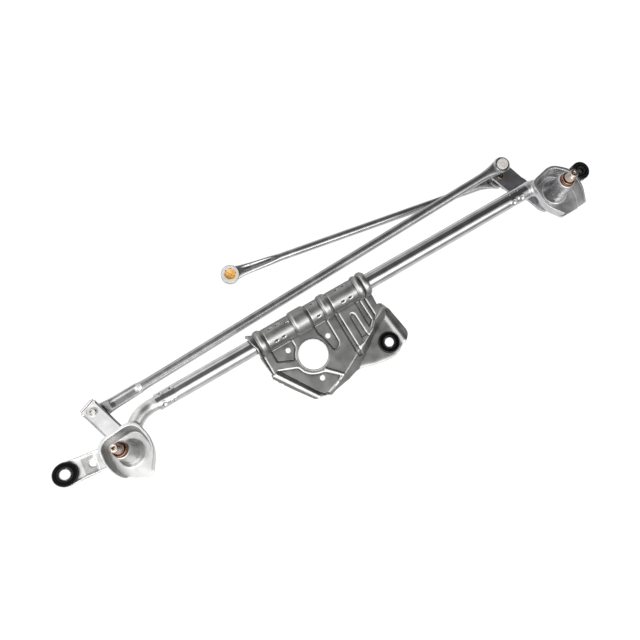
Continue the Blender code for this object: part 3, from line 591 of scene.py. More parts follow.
# Creases in the plate: line, half width, depth
GROOVES = (
    (((-57.2, 0), (-57.2, -42.5)), 1.1, 1.6),
    (((4.5, -70.6), (20.5, -87.5)), 1.2, -1.0),
    (((-54, -44.6), (-20.8, -96)), 1.5, -1.3),
    (((51, -71.5), (57, -67.5), (66, -66), (75, -60.5), (84.5, -56), (92, -47.5)), 1.4, -0.8),
)

# The wall from the plate down to the grommet platform
WALL_TOP = (
    (112, -30), (111, -38), (103.5, -43), (93, -48), (84, -57), (66, -67), (51, -73.5), (21, -89), (-9, -98),
)
WALL_FOOT = (
    (125, -36), (117, -42.5), (110, -50.5), (84, -63), (54, -86), (43, -91.5), (20, -97.5), (-9, -103),
)

# Corners far below the plate, which close the area under a line across it
PLATE_BEYOND = ((-9, -200), (300, -200))

# Soft ridges of the platform: line, half width, rise
PLATFORM_RIDGES = (
    (((113, -48), (117.5, -90)), 3.4, 2.2),
    (((124, -44), (129.5, -82)), 3.6, -0.8),
    (((46, -93), (67, -100), (94, -104), (106, -100)), 3.2, -1.2),
)

# The fold along the lower left edge
FLANGE_CREST = ((-57, -45), (-22, -98))
FLANGE_DROP = 5.0
FLANGE_RUN = 3.2

# The free edge from the lower left corner round to the right end of the sleeve, as corners (x, y, cut)
BRACKET_OUTLINE = (
    (-61.5, -46.5, 2), (-25.8, -96.8, 3), (-12.5, -100.8, 5), (-4.9, -102.2, 5), (1.7, -99.6, 3),
    (19.4, -96.6, 4), (30, -95.6, 4), (46.2, -91.6, 6), (66.6, -97.6, 5), (78, -100.4, 5),
    (94, -101.8, 5), (105, -98.3, 5), (112, -93.6, 4), (119, -91.4, 3), (125.6, -86.4, 4),
    (127, -79.7, 4), (120.8, -41.6, 4), (116.4, -37.6, 3), (110.2, -31, 3),
)


def band_height(x):
    """How far the sleeve stands out at x: its raised bands and its flared left end."""
    height = np.zeros(x.shape)
    dip = np.zeros(x.shape)
    for first, last, tall in SLEEVE_BANDS:
        off = abs(x - (first + last) / 2) - (last - first) / 2
        height = np.maximum(height, tall * smoothstep(0.25 - off / 4.2))
        dip = np.maximum(dip, 0.5 * np.exp(-(((off - 1.7) / 0.8) ** 2)))
    flare = 3.4 * smoothstep((-58.2 - x) / 4)
    dip = dip + 1.1 * np.exp(-(((x - 98.8) / 0.9) ** 2))
    return np.maximum(height, flare) - dip


def creased(x, y, lines):
    """What soft ridges along lines (line, half width, rise) add to the height."""
    return sum(rise * np.exp(-((line_distance(x, y, line) / half) ** 2)) for line, half, rise in lines)


def below_line(x, y, line):
    """How far points lie below a line across the plate; negative above it."""
    return inside_distance(x, y, [*line, *PLATE_BEYOND, (PLATE_BEYOND[1][0], line[0][1])])


def plate_height(x, y):
    """Height of the pressed plate over its low level."""
    height = np.full(x.shape, EMBOSS)
    for pad in PADS:
        depth = inside_distance(x, y, rounded(pad, 4))
        height = np.minimum(height, EMBOSS * (1 - smoothstep(0.5 + depth / 2.0)))
    height -= creased(x, y, GROOVES)
    from_hole = np.hypot(x - MOTOR_HOLE[0], y - MOTOR_HOLE[1]) - MOTOR_HOLE_RADIUS
    height = np.maximum(height, EMBOSS * (1 - smoothstep((from_hole - 3) / 1.8)))
    height += 0.4 * (1 - smoothstep(from_hole / 2.4))
    below_top, below_foot = below_line(x, y, WALL_TOP), below_line(x, y, WALL_FOOT)
    share = np.where(below_foot >= 0, 1.0, below_top / np.maximum(below_top - below_foot, 1e-6))
    share = np.where(below_top > 0, share, 0.0)
    height -= PLATFORM_DROP * (0.75 * share + 0.25 * smoothstep(share))
    (ax, ay), (bx, by) = FLANGE_CREST
    out = ((y - ay) * (bx - ax) - (x - ax) * (by - ay)) / -math.hypot(bx - ax, by - ay)
    height -= np.where(x < -9, FLANGE_DROP * np.clip((out - 0.4) / FLANGE_RUN, 0, 1), 0)
    return height + creased(x, y, PLATFORM_RIDGES)


def lift_bracket(x, v):
    """Places the flat blank: v > 0 is the plate, and v < 0 goes up the skirt and over the tube."""
    y_flat = SKIRT_END - np.maximum(v, 0)
    stand = band_height(x)
    for place, y_stake in SLEEVE_STAKES:
        turn = math.acos(y_stake / SLEEVE_RADIUS)
        v_stake = -SKIRT_RUN - SLEEVE_RADIUS * (math.pi - turn)
        off = np.hypot((x - place) / STAKE_LENGTH, (v - v_stake) / STAKE_WIDTH)
        stand = stand - STAKE_DEPTH * (1 - smoothstep((off - 0.4) / 0.8))
    blend = smoothstep((v + SKIRT_RUN) / SKIRT_RUN)
    stand = stand * (1 - blend) + plate_height(x, y_flat) * blend
    bend = np.clip(-v / FILLET, 0, math.pi / 2)
    up = np.clip(-v - FILLET_RUN, 0, SKIRT_RUN - FILLET_RUN)
    over = np.clip((-v - SKIRT_RUN) / SLEEVE_RADIUS, 0, SLEEVE_SPAN)
    below = v > -SKIRT_RUN
    normal_y = np.where(below, -np.sin(bend), -np.cos(over))
    normal_z = np.where(below, np.cos(bend), np.sin(over))
    y = np.where(below, y_flat + FILLET * np.sin(bend), -SLEEVE_RADIUS * np.cos(over))
    z = np.where(below, LOW_LEVEL + FILLET * (1 - np.cos(bend)) + up, SLEEVE_RADIUS * np.sin(over))
    flare = -3.5 * smoothstep((-58 - x) / 4) * smoothstep((-v - SKIRT_RUN - 14) / 14)
    return x + flare, y + stand * normal_y, z + stand * normal_z


def on_blank(x, y):
    return x, SKIRT_END - y


def build_bracket():
    outline = [(SLEEVE_LEFT, -SLEEVE_RUN), (SLEEVE_LEFT, 0)]
    outline += [on_blank(*point) for point in rounded(BRACKET_OUTLINE)]
    outline += [(SLEEVE_RIGHT, 4), (SLEEVE_RIGHT, -SLEEVE_RUN)]
    holes = [circle(*on_blank(*MOTOR_HOLE), MOTOR_HOLE_RADIUS, 96)]
    holes += [circle(*on_blank(x, y), SCREW_HOLE_RADIUS) for x, y in SCREW_HOLES]
    seat = BRACKET_SEAT.translation / MM
    holes.append(circle(*on_blank(seat.x, seat.y), GROMMET_SEAT, 64))
    bracket = pressed_sheet("pressed_bracket", outline, holes, lift_bracket, BRACKET_SHEET, SHEET_SPACING)
    dress(bracket, "frame", "bracket", "bracket", "motor_bracket")


# ---------------- castings

VOXEL = 0.7
LEFT_RIM = (
    (-30, 31, 18), (26, 32, 16), (35.5, -8, 22), (15, -36, 2.5), (-1, -36, 2.5), (-22, -25, 16), (-33, 0, 14),
)
RIGHT_RIM = (
    (-32, 25, 10), (8, 34, 12), (32, 14, 12), (33, -12, 12), (21, -36, 2.5), (-15, -36, 2.5), (-32, -15, 8),
)
LEFT_NECK = (
    (-250, -30, 3), (-246, -24, 3), (-237, -11, 4), (-225, -3, 3), (-212, 0, 0), (-202, 0, 0), (-185, 0, 0),
)
LEFT_NECK_RADII = (12, 10.6, 9.5, 9.1, 8.8, 8.8, 8.8)
RIGHT_NECK = ((400, -16, 4), (395, -10, 4), (385, -3, 2), (377, 0, 0), (371, 0, 0), (355, 0, 0))
RIGHT_NECK_RADII = (11, 11, 11.5, 10.9, 10.6, 8.9)

EAR_HALF = 13.5
EAR_BOTTOM = -2
EAR_LEVEL = 1.1
EAR_SUNK_LEVEL = -1.0
EAR_RAISED_LEVEL = 2
HOLE_RADIUS = 4.3


def scaled(outline, z, across, along_y, nearer=0.0):
    """The outline at height z, narrowed about its middle and towards its near edge."""
    edge = min(y for _, y in outline)
    return [(x * across, edge + (y - edge) * along_y - nearer, z) for x, y in outline]


def smooth_path(points, parts=6):
    """A Catmull-Rom curve through the points."""
    points = [Vector(p) for p in points]
    path = []
    for i in range(len(points) - 1):
        a, b = points[max(i - 1, 0)], points[i]
        c, d = points[i + 1], points[min(i + 2, len(points) - 1)]
        for k in range(parts):
            t = k / parts
            bend = (2 * a - 5 * b + 4 * c - d) * t**2 + (3 * b - a - 3 * c + d) * t**3
            path.append(0.5 * (2 * b + (c - a) * t + bend))
    return path + [points[-1]]


def swept(name, path, radii, steps=40):
    """A round rod along a path."""
    loops = []
    for i, point in enumerate(path):
        ahead = path[min(i + 1, len(path) - 1)] - path[max(i - 1, 0)]
        side = ahead.cross(Vector((0, 0, 1))).normalized()
        rise = side.cross(ahead).normalized()
        turns = [2 * math.pi * k / steps for k in range(steps)]
        loops.append([tuple(point + (side * math.cos(a) + rise * math.sin(a)) * radii[i]) for a in turns])
    return lofted(name, loops)


def neck_rod(name, points, radii):
    path = smooth_path(points)
    spread = np.interp(np.linspace(0, len(radii) - 1, len(path)), range(len(radii)), radii)
    return swept(name, path, spread.tolist())


def ear_parts(side, seat, length, end, zones):
    """The flat ear, its raised side lines, and the raised zones either side of its sunk middle."""
    half = EAR_HALF
    turns = [math.radians(75 + 210 * k / 40) for k in range(41)]
    arc = [(end * math.cos(a), end * math.sin(a)) for a in turns]
    outline = arc + [(length, -half), (length, half)]
    top = EAR_SUNK_LEVEL if zones else EAR_LEVEL
    parts = [lofted(side + "_ear", [[(x, y, z) for x, y in outline] for z in (EAR_BOTTOM, top)], seat)]
    if zones:
        first, last = zones[0][1] - 0.4, zones[1][0] + 0.4
        wide = half - 0.3
        ramp = []
        for x, low, high in ((first, -1.6, 1.9), (last, -1.6, -0.8)):
            ramp.append([(x, -wide, low), (x, wide, low), (x, wide, high), (x, -wide, high)])
        parts.append(lofted(side + "_ramp", ramp, seat))
    for first, last in zones:
        if first > -end:
            reach = [(first, -half + 0.2), (last, -half), (last, half), (first, half - 0.2)]
        else:
            reach = arc + [(last, -half + 0.2), (last, half - 0.2)]
        levels = (-1.7, EAR_RAISED_LEVEL)
        parts.append(lofted(side + "_zone", [[(x, y, z) for x, y in reach] for z in levels], seat))
    for sign in (-1, 1):
        line = [(end * 0.4, end - 1.6), (end + 5, half - 1.0), (length, half - 0.9)]
        loops = []
        for x, y in line:
            section = ((-1.2, -1.8), (1.2, -1.8), (0.9, 3.0), (-0.9, 3.0))
            loops.append([(x, sign * y + dy, z) for dy, z in section])
        parts.append(lofted(side + "_line", loops, seat))
    return parts


def build_casting(side, axis, rim, lever_level, neck, ear, look):
    """A cup with its neck and ear, hollowed, then given its boss and holes, and rounded all over."""
    outline = rounded(rim, 10)
    levels = ((CUP_BOTTOM, 0.8, 0.88), (3, 0.91, 0.95), (CUP_RIM - 4, 0.985, 0.99), (CUP_RIM, 1.0, 1.0))
    cup = lofted(side + "_cast_housing", [scaled(outline, *level) for level in levels], axis)
    levels = ((CUP_FLOOR, 0.78, 0.89), (CUP_FLOOR + 4, 0.82, 0.92), (CUP_RIM + 8, 0.93, 0.985))
    cavity = lofted(side + "_cavity", [scaled(outline, *level, 1.5) for level in levels], axis)
    seat, length, end, zones, hole, groove, stretch = ear
    combine(cup, "UNION", neck, *ear_parts(side, seat, length, end, zones))
    combine(cup, "DIFFERENCE", cavity)
    hub = lever_level + LEVER_THICKNESS / 2 + WASHER_THICKNESS + 2 * GAP
    profile = (
        (0, hub), (10, hub), (11, hub + 1), (13, CUP_BOTTOM - 2), (17, CUP_FLOOR - 1),
        (16.5, CUP_FLOOR + 1.5), (14.8, CUP_FLOOR + 4), (13.8, CUP_FLOOR + 12), (13.5, CUP_FLOOR + 12.6),
        (12.9, CUP_FLOOR + 13), (11.5, BOSS_TOP - 2), (10.8, BOSS_TOP - 0.6), (10.2, BOSS_TOP), (0, BOSS_TOP),
    )
    combine(cup, "UNION", turned(side + "_boss", profile, axis, 64))
    wide = SHAFT_RADIUS + 1
    bore = turned(side + "_bore", ((0, -80), (wide, -80), (wide, 60), (0, 60)), axis, 48)
    profile = ((0, BOSS_TOP - 3), (8.4, BOSS_TOP - 3), (8.8, 60), (0, 60))
    mouth = turned(side + "_mouth", profile, axis, 48)
    drill = turned(side + "_seat", ((0, -10), (groove, -10), (groove, 10), (0, 10)), seat, 64, stretch)
    tools = [bore, mouth, drill]
    if hole:
        profile = ((0, -9), (HOLE_RADIUS, -9), (HOLE_RADIUS, 9), (0, 9))
        tools.append(turned(side + "_hole", profile, seat @ shift(hole, 0, 0), 40))
    combine(cup, "DIFFERENCE", *tools)
    remesh = cup.modifiers.new("skin", "REMESH")
    remesh.mode = "VOXEL"
    remesh.voxel_size = VOXEL * MM
    smooth = cup.modifiers.new("fillets", "SMOOTH")
    smooth.factor = 0.5
    smooth.iterations = 5
    bpy.context.view_layer.update()
    apply_modifiers(cup)
    cup.data.shade_smooth()
    dress(cup, "frame", look, "housing", side + "_pivot_housing")


def build_castings():
    # An ear: its frame, length, end radius, raised zones, hole, and the seat's radius and stretch
    left_ear = (LEFT_SEAT, 58, 15.6, ((-20, 22.5), (38.5, 58)), 34, GROMMET_SEAT, 1.1)
    right_ear = (RIGHT_SEAT, 34, 12.4, (), None, 8.9, 1.0)
    left_neck = neck_rod("left_neck", LEFT_NECK, LEFT_NECK_RADII)
    right_neck = neck_rod("right_neck", RIGHT_NECK, RIGHT_NECK_RADII)
    build_casting("left", LEFT_AXIS, LEFT_RIM, LEFT_LEVER_LEVEL, left_neck, left_ear, "left_casting")
    build_casting("right", RIGHT_AXIS, RIGHT_RIM, RIGHT_LEVER_LEVEL, right_neck, right_ear, "right_casting")


# ---------------- grommets


def grommet_profile(outer, neck, bore, half):
    """A rubber ring with a groove for the sheet, and shallow rings moulded into both faces."""
    flange = half + 4
    middle = (outer + bore) / 2
    top = [
        (bore, flange - 0.4), (bore + 0.5, flange + 0.6), (bore + 1.3, flange + 0.9),
        (middle - 1.6, flange + 0.9), (middle - 1.0, flange - 0.9), (middle - 0.2, flange - 0.9),
        (middle + 0.4, flange + 0.8), (outer - 3.2, flange + 0.8), (outer - 2.7, flange - 0.7),
        (outer - 2.1, flange - 0.7), (outer - 1.6, flange + 0.6), (outer - 0.7, flange + 0.2),
        (outer, flange - 1.0), (outer, half + 0.8), (outer - 0.8, half), (neck, half),
    ]
    return top + [(r, -z) for r, z in reversed(top)]


def build_grommets():
    # Name, frame, outer, groove and bore radius, half the groove's width, stretch
    sizes = (
        ("left", LEFT_SEAT, 14.8, 11, 7.1, 2.3, 1.1),
        ("right", RIGHT_SEAT, 12.9, 8.6, 3.4, 2.3, 1.0),
        ("bracket", BRACKET_SEAT, 14.4, 11, 7.1, 1.3, 1.0),
    )
    for name, seat, outer, neck, bore, half, stretch in sizes:
        profile = grommet_profile(outer, neck, bore, half)
        ring = turned(name + "_rubber_grommet", profile, seat, stretch=stretch)
        dress(ring, "frame", "rubber", "grommet", name + "_grommet")
        if name == "right":
            continue
        end = half + 4.7
        outside, inside = bore - GAP, bore - GAP - 1
        wall = (
            (outside, -end + 0.3), (outside, end - 0.3), (outside - 0.3, end),
            (inside + 0.3, end), (inside, end - 0.3), (inside, -end + 0.3),
            (inside + 0.3, -end), (outside - 0.3, -end),
        )
        sleeve = turned(name + "_spacer_tube", wall, seat, stretch=stretch)
        dress(sleeve, "frame", "steel", "sleeve", name + "_grommet_sleeve")


# ---------------- spindles

SPLINES = 36
THREAD_PITCH = 1.25
THREAD_RADIUS = 5.6
CONE_RADIUS = 6.7


def build_spindle(side, axis, lever_level):
    under = lever_level - LEVER_THICKNESS / 2 - GAP
    over = lever_level + LEVER_THICKNESS / 2 + GAP
    seat = BOSS_TOP + 7
    tip = SHAFT_TIP
    profile = [
        (0, under - 1.2), (2.4, under - 1.2), (3.4, under - 2.6), (6.5, under - 2.6), (7.8, under - 1.9),
        (8.2, under - 1.2), (8.2, under), (5.2, under), (5.2, over), (SHAFT_RADIUS, over),
        (SHAFT_RADIUS, seat - 1), (5.7, seat - 0.6), (5.7, seat), (CONE_RADIUS, seat + 0.5),
    ]
    rows = 14
    for k in range(1, rows + 1):
        profile.append((CONE_RADIUS - 0.8 * k / rows, seat + 0.5 + 9 * k / rows))
    profile.append((5.3, seat + 10))
    profile += [(THREAD_RADIUS, z) for z in np.arange(seat + 10.2, tip - 0.7, THREAD_PITCH / 6)]
    profile += [(5.2, tip - 0.4), (4.7, tip), (2.6, tip), (2.1, tip - 0.7), (1.9, tip - 3), (0, tip - 4)]

    def cut_teeth(radius, z, angle):
        if seat + 0.6 < z < seat + 9.4:
            return radius - 0.32 * (0.5 + 0.5 * math.cos(SPLINES * angle))
        if seat + 10.1 < z < tip - 0.5:
            wave = (z / THREAD_PITCH - angle / (2 * math.pi)) % 1
            return radius - 0.6 * abs(2 * wave - 1)
        return radius

    shaft = turned(side + "_wiper_spindle", profile, axis, 4 * SPLINES, ripple=cut_teeth, sharp=50)
    dress(shaft, side + "_crank", "spindle", "spindle", side + "_pivot_shaft")


def build_ring(side, axis):
    inner = SHAFT_RADIUS + GAP
    low = BOSS_TOP + GAP
    profile = (
        (inner, low), (8.9, low), (9.6, low + 0.4), (9.9, low + 1.4), (9.5, low + 2.3), (9.1, low + 2.6),
        (9.5, low + 3.0), (9.3, low + 4.2), (8.8, low + 5.1), (8.3, low + 5.4), (7.9, low + 5.0),
        (7.5, low + 2.4), (inner, low + 2.2),
    )
    ring = turned(side + "_copper_ring", profile, axis)
    dress(ring, side + "_crank", "copper", "retaining_ring", side + "_retaining_ring")


# ---------------- levers


LEFT_LEVER_HALF = 12.5
RIGHT_HUB_RADIUS = 14
SHAFT_HOLE = 5.5
STUD_HOLE = 4.1
STEM_RADIUS = 4.4


def hub_end(radius):
    """The round end of a lever's outline, about its shaft."""
    turns = [math.radians(a) for a in range(84, -85, -7)]
    return [(-radius * math.cos(a), radius * math.sin(a)) for a in turns]


def folded(distance, inset, drop, run=1.4):
    """Height of an edge fold: flat until `inset` from the edge, then down by `drop`."""
    return -drop * smoothstep((inset + run - distance) / run)


def build_left_lever():
    reach = math.hypot(*LEFT_BALL)
    turn = math.degrees(math.atan2(LEFT_BALL[1], LEFT_BALL[0]))
    half = LEFT_LEVER_HALF
    outline = hub_end(half)
    outline += [(reach + 8.5, -half), (reach + 13, 3.5 - half), (reach + 13, half - 3.5), (reach + 8.5, half)]
    top = LEFT_LEVER_LEVEL + LEVER_THICKNESS / 2

    def lift(x, y):
        flank = half - abs(y)
        along_edge = smoothstep((x - 4) / 3) * smoothstep((reach + 7 - x) / 3)
        height = folded(flank, 0.2, 3.2) * along_edge
        height = height + 2.2 * smoothstep((x - reach - 9.4) / 1.6)
        dish = np.hypot(x - reach, y)
        height = height - 0.35 * np.exp(-(((dish - 7.2) / 1.1) ** 2))
        height = height - 0.35 * np.exp(-(((y - half + 3.4) / 0.7) ** 2)) * along_edge
        return x, y, np.full(x.shape, top) + height

    holes = [circle(0, 0, SHAFT_HOLE), circle(reach, 0, STUD_HOLE)]
    place = LEFT_AXIS @ turn_z(turn)
    lever = pressed_sheet("left_zinc_lever", outline, holes, lift, LEVER_THICKNESS, SHEET_SPACING, place)
    dress(lever, "left_crank", "bright_lever", "bright_lever", "left_crank_lever")


def build_right_lever():
    reach = math.hypot(*RIGHT_BALL)
    turn = math.degrees(math.atan2(RIGHT_BALL[1], RIGHT_BALL[0]))
    outline = hub_end(RIGHT_HUB_RADIUS)
    outline += [(19, -16), (36, -17), (reach - 8, -17), (reach + 4, -12), (reach + 10, -6)]
    outline += [(reach + 10, 8), (reach + 5, 15), (reach - 2, 18.5), (50, 17.5), (36, 17), (19, 14.5)]
    rise = RIGHT_LEVER_LEVEL - RIGHT_BALL_LEVEL
    top = RIGHT_BALL_LEVEL + LEVER_THICKNESS / 2

    def lift(x, y):
        height = rise * (1 - smoothstep((x - 20) / 19))
        edge = folded(inside_distance(x, y, outline), 0.3, 1.6, 1.2)
        return x, y, top + height + edge * smoothstep((x - 42) / 6)

    motor = Matrix.Rotation(-math.radians(turn), 2) @ Vector(MOTOR_LINK_BALL)
    holes = [circle(0, 0, SHAFT_HOLE), circle(reach, 0, STUD_HOLE), circle(motor.x, motor.y, STUD_HOLE)]
    place = RIGHT_AXIS @ turn_z(turn)
    lever = pressed_sheet("right_dark_lever", outline, holes, lift, LEVER_THICKNESS, SHEET_SPACING, place)
    dress(lever, "right_crank", "dark_lever", "dark_lever", "right_crank_lever")


def build_stud(node, name, look, side, place, level, up):
    """A ball stud with a punched rivet head on the lever's other side."""
    face = LEVER_THICKNESS / 2 + GAP
    profile = [
        (0, -face + 1.6), (3.2, -face + 1.6), (3.5, -face + 1.3), (3.8, -face - 1.2), (4.1, -face - 1.6),
        (4.7, -face - 1.2), (4.9, -face - 0.7), (4.9, -face), (4.0, -face), (4.0, face),
        (5.4, face), (5.6, face + 0.2), (5.6, face + 0.8), (5.2, face + 1.1), (STEM_RADIUS, face + 1.5),
    ]
    first = -math.acos(STEM_RADIUS / BALL_RADIUS)
    rings = 24
    for k in range(rings):
        angle = first + (math.pi / 2 - first) * k / rings
        profile.append((BALL_RADIUS * math.cos(angle), BALL_DROP + BALL_RADIUS * math.sin(angle)))
    profile.append((0, BALL_DROP + BALL_RADIUS))
    axis = LEFT_AXIS if side == "left" else RIGHT_AXIS
    stud = turned(name, [(r, z * up) for r, z in profile], axis @ shift(*place, level), 64)
    dress(stud, side + "_crank", look, "ball_stud", node)


# ---------------- links


CUP_REACH = 11.0
STRIP_THICKNESS = 1.4


def channel(name, matrix, stations, skew):
    """A rolled strip between two cups. A station is (x, width, crown, edge depth, offset, groove)."""
    table = np.array(stations, float)
    left, right = table[0, 0], table[-1, 0]
    extra = [table[:, 0], table[:6, 0] + 1, table[-6:, 0] - 1]
    xs = np.unique(np.concatenate([np.arange(left, right, 3.0), *extra]))
    xs = xs[(xs >= left) & (xs <= right)]
    wide, crown, lip, offset, groove = (np.interp(xs, table[:, 0], table[:, k])[:, None] for k in range(1, 6))
    across = np.linspace(-1, 1, 45)[None, :]
    turn = across * math.radians(100)
    y = wide / 2 * np.sin(turn)
    z = offset + crown * (np.abs(np.cos(turn)) ** 0.8 * np.sign(np.cos(turn)))
    past = np.abs(turn) - math.pi / 2
    z = np.where(past > 0, offset - lip * past / math.radians(10), z)
    z = z - groove * np.exp(-(((np.sin(turn) - skew) / 0.42) ** 4)) * (np.abs(turn) < math.radians(80))
    x = np.broadcast_to(xs[:, None], y.shape).copy()
    reach = np.sqrt(np.maximum(CUP_REACH**2 - y**2, 0))
    x = np.where(x < left + 3, np.maximum(x, reach), x)
    x = np.where(x > right - 3, np.minimum(x, left + right - reach), x)
    points = np.stack([x, y, z], axis=2).reshape(-1, 3)
    strip = mesh_piece(name, points, grid_faces(len(xs), across.size), matrix, 50, recalc=False)
    strip.data.flip_normals()
    wall = strip.modifiers.new("thickness", "SOLIDIFY")
    wall.thickness = STRIP_THICKNESS * MM
    return apply_modifiers(strip)


def cup_shell(name, matrix, x, up, grow=1.0):
    """The drawn cup that holds a socket, with its rolled rim."""
    profile = (
        (8.3, -7.2), (10.2, -7.2), (11.2, -6.4), (11.9, -4.8), (11.9, 3.2), (11.6, 3.8),
        (11.1, 4.0), (10.6, 3.8), (10.3, 3.2), (10.3, -3.8), (8.3, -6.0),
    )
    return turned(name, [(r * grow, z * up) for r, z in profile], matrix @ shift(x, 0, 0))


def bake_into(piece, matrix):
    """Moves a piece's own frame into its mesh, so that it can share another's."""
    piece.data.transform(matrix.inverted() @ piece.matrix_world)
    piece.matrix_world = matrix
    return piece


def build_link(name, node, body, matrix, stations, ends, skew):
    strip = channel(name, matrix, stations, skew)
    cups = [bake_into(cup_shell(name + "_cup", matrix, *end), matrix) for end in ends]
    bpy.context.view_layer.update()
    link = joined(name, [strip] + cups)
    dress(link, body, "link", "link", node)


def build_socket(node, name, body, matrix, x, up, look="nylon", greased=False):
    """A nylon ball socket: a closed cap on one side, and a slotted snap-in mouth on the other."""
    cavity = 8.7
    mouth = 5.0 if greased else 6.0
    opening = 8.0 if greased else 7.0
    brim = 12.1 if greased else 10.9
    profile = [
        (0, -10.6), (2.2, -10.6), (2.6, -10.3), (3.2, -10.6), (6.9, -10.6), (7.6, -10.3), (7.9, -9.7),
        (7.9, -6.5), (10, -4), (10, 3.9), (10.2, 4.4), (brim - 0.2, 4.4), (brim, 4.7),
        (brim - 0.1, mouth - 0.4), (brim - 0.4, mouth), (opening, mouth),
    ]
    first = math.acos(opening / cavity)
    rings = 20
    for k in range(rings):
        angle = first - (first + math.pi / 2) * k / rings
        profile.append((cavity * math.cos(angle), cavity * math.sin(angle)))
    profile.append((0, -cavity))

    def slots(radius, z, angle):
        return radius + (0.18 * math.cos(6 * angle) if z * up > 2 and radius < 9 else 0)

    place = matrix @ shift(x, 0, 0)
    socket = turned(name, [(r, z * up) for r, z in profile], place, ripple=slots)
    dress(socket, body, look, "socket", node)
    if greased:
        fill_with_grease(body, place, up)


def fill_with_grease(body, place, up):
    """Grease left in an empty socket: a lumpy layer over the cavity's floor."""
    profile = [(0, 0.8)]
    profile += [(8.0 * k / 14, 0.8 + 1.6 * (k / 14) ** 3) for k in range(1, 15)]
    profile += [(8.4, 0.5), (8.4, -1.5), (7.8, -3.6), (5, -6.9), (0, -8.5)]

    def lumps(radius, z, angle):
        return radius * (1 + 0.03 * math.sin(5 * angle + z) + 0.02 * math.sin(9 * angle - 2 * z))

    grease = turned("socket_grease", [(r, z * up) for r, z in profile], place, ripple=lumps, sharp=80)
    uneven = np.array([v.co[:] for v in grease.data.vertices])
    wave = 0.5 * np.sin(uneven[:, 0] / MM * 1.1 + 1) * np.cos(uneven[:, 1] / MM * 0.9) * MM
    for vertex, lift in zip(grease.data.vertices, wave):
        if vertex.co.z * up > 0:
            vertex.co.z += lift
    dress(grease, body, "grease", "socket")


def build_links():
    far = LONG_SPAN
    long_stations = (
        (8, 20.5, 3.2, 1.5, 0.4, 0),
        (14, 17.5, 3.8, 2.2, 0, 0),
        (24, 14.4, 4.8, 2.4, -1.0, 0),
        (34, 12.9, 5.4, 2.4, -1.6, 0),
        (far - 74, 12.9, 5.4, 2.4, -1.6, 0),
        (far - 66, 13.6, 5.0, 2.4, -1.4, 0),
        (far - 60, 15.2, 2.2, 2.2, 0, 0.2),
        (far - 57, 15.6, 2.2, 2.2, 0, 1.2),
        (far - 26, 16.4, 2.2, 2.2, 0, 1.2),
        (far - 20, 17.2, 2.4, 2.4, 0, 0.3),
        (far - 8, 20.5, 2.4, 2.4, -0.6, 0),
    )
    cups = ((0, -1), (far, 1))
    build_link("long_rolled_link", "long_link", "long_link", LONG_FRAME, long_stations, cups, 0.0)
    far = SHORT_SPAN
    short_stations = (
        (8, 19.5, 2.4, 2.4, -0.8, 0),
        (16, 15.0, 2.8, 2.6, -0.4, 0),
        (28, 10.7, 4.8, 2.2, -1.2, 0),
        (far - 72, 10.7, 4.8, 2.2, -1.2, 0),
        (far - 60, 12.2, 3.6, 2.4, -0.6, 1.2),
        (far - 30, 14.2, 2.4, 2.4, 0, 2.0),
        (far - 18, 16.0, 2.3, 2.4, 0, 0.8),
        (far - 8, 19.5, 2.4, 2.4, -0.6, 0),
    )
    cups = ((0, 1), (far, 1, 1.08))
    build_link("short_rolled_link", "short_link", "short_link", SHORT_FRAME, short_stations, cups, -0.15)
    build_socket("long_link_right_socket", "long_right_nylon_socket", "long_link", LONG_FRAME, 0, -1)
    build_socket("long_link_left_socket", "long_left_nylon_socket", "long_link", LONG_FRAME, LONG_SPAN, 1)
    # The crank-end socket takes the shade-darkened nylon, a painted shadow under the lever
    build_socket(
        "short_link_crank_socket", "short_crank_nylon_socket", "short_link", SHORT_FRAME, 0, 1,
        look="shade_darkened_nylon",
    )
    build_socket(
        "short_link_motor_socket", "short_motor_nylon_socket", "short_link", SHORT_FRAME, SHORT_SPAN, 1,
        greased=True,
    )


# ---------------- carried-over solids


def finish_small_solids():
    """Bushes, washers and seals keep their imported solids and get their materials."""
    looks = {"bush": "bronze", "washer": "steel", "seal": "rubber"}
    for name, solid in frame["nodes"].items():
        kind = name.split("_")[-1]
        if kind in looks:
            solid.data.materials.clear()
            solid.data.materials.append(LOOKS[looks[kind]])


# ---------------- studio

CAMERA_PLACE = (-0.15527, -0.10863, 0.98241)
CAMERA_RIGHT = (0.85117, -0.51321, 0.11018)
CAMERA_UP = (0.49142, 0.85289, 0.17632)
CAMERA_BACK = (-0.18446, -0.09593, 0.97815)
CAMERA_LENS = 43.48

# White paper floor: how far below the object, its half width, and the radii its light pool fades between
FLOOR_CLEARANCE = 0.045
FLOOR_HALF = 4.0
FLOOR_POOL = (0.75, 1.5)
FLOOR_FAR_LIGHT = 0.3

# The room's brightness by direction. A pair says between which values of X, Y or Z a change happens.
ROOM_LEFT = 1.2
ROOM_RIGHT = 0.42
ROOM_SIDES = (-0.3, 0.5)
DARK_BAND = 0.86
DARK_BAND_NEAR = (-0.2, -0.1)
DARK_BAND_FAR = (0.72, 0.86)
DARK_BAND_LEFT = (-0.3, -0.12)
ROOM_LOW = 0.7
LOW_EDGE = (0.2, 0.5)
ROOM_CORNER = 0.45
CORNER_EDGE = (-0.75, -0.55)
SOFTBOX = 0.85
SOFTBOX_NEAR = (-0.33, -0.43)
SOFTBOX_EDGES = (("Y", -0.86, -0.78), ("X", 0.55, 0.3), ("Z", 0.1, 0.3))


def build_camera():
    lens = bpy.data.cameras.new("camera")
    lens.lens = CAMERA_LENS
    lens.clip_start = 0.01
    turn = Matrix((CAMERA_RIGHT, CAMERA_UP, CAMERA_BACK)).transposed()
    place = Matrix.LocRotScale(Vector(CAMERA_PLACE), turn, None)
    bpy.context.scene.camera = placed("camera", lens, place)


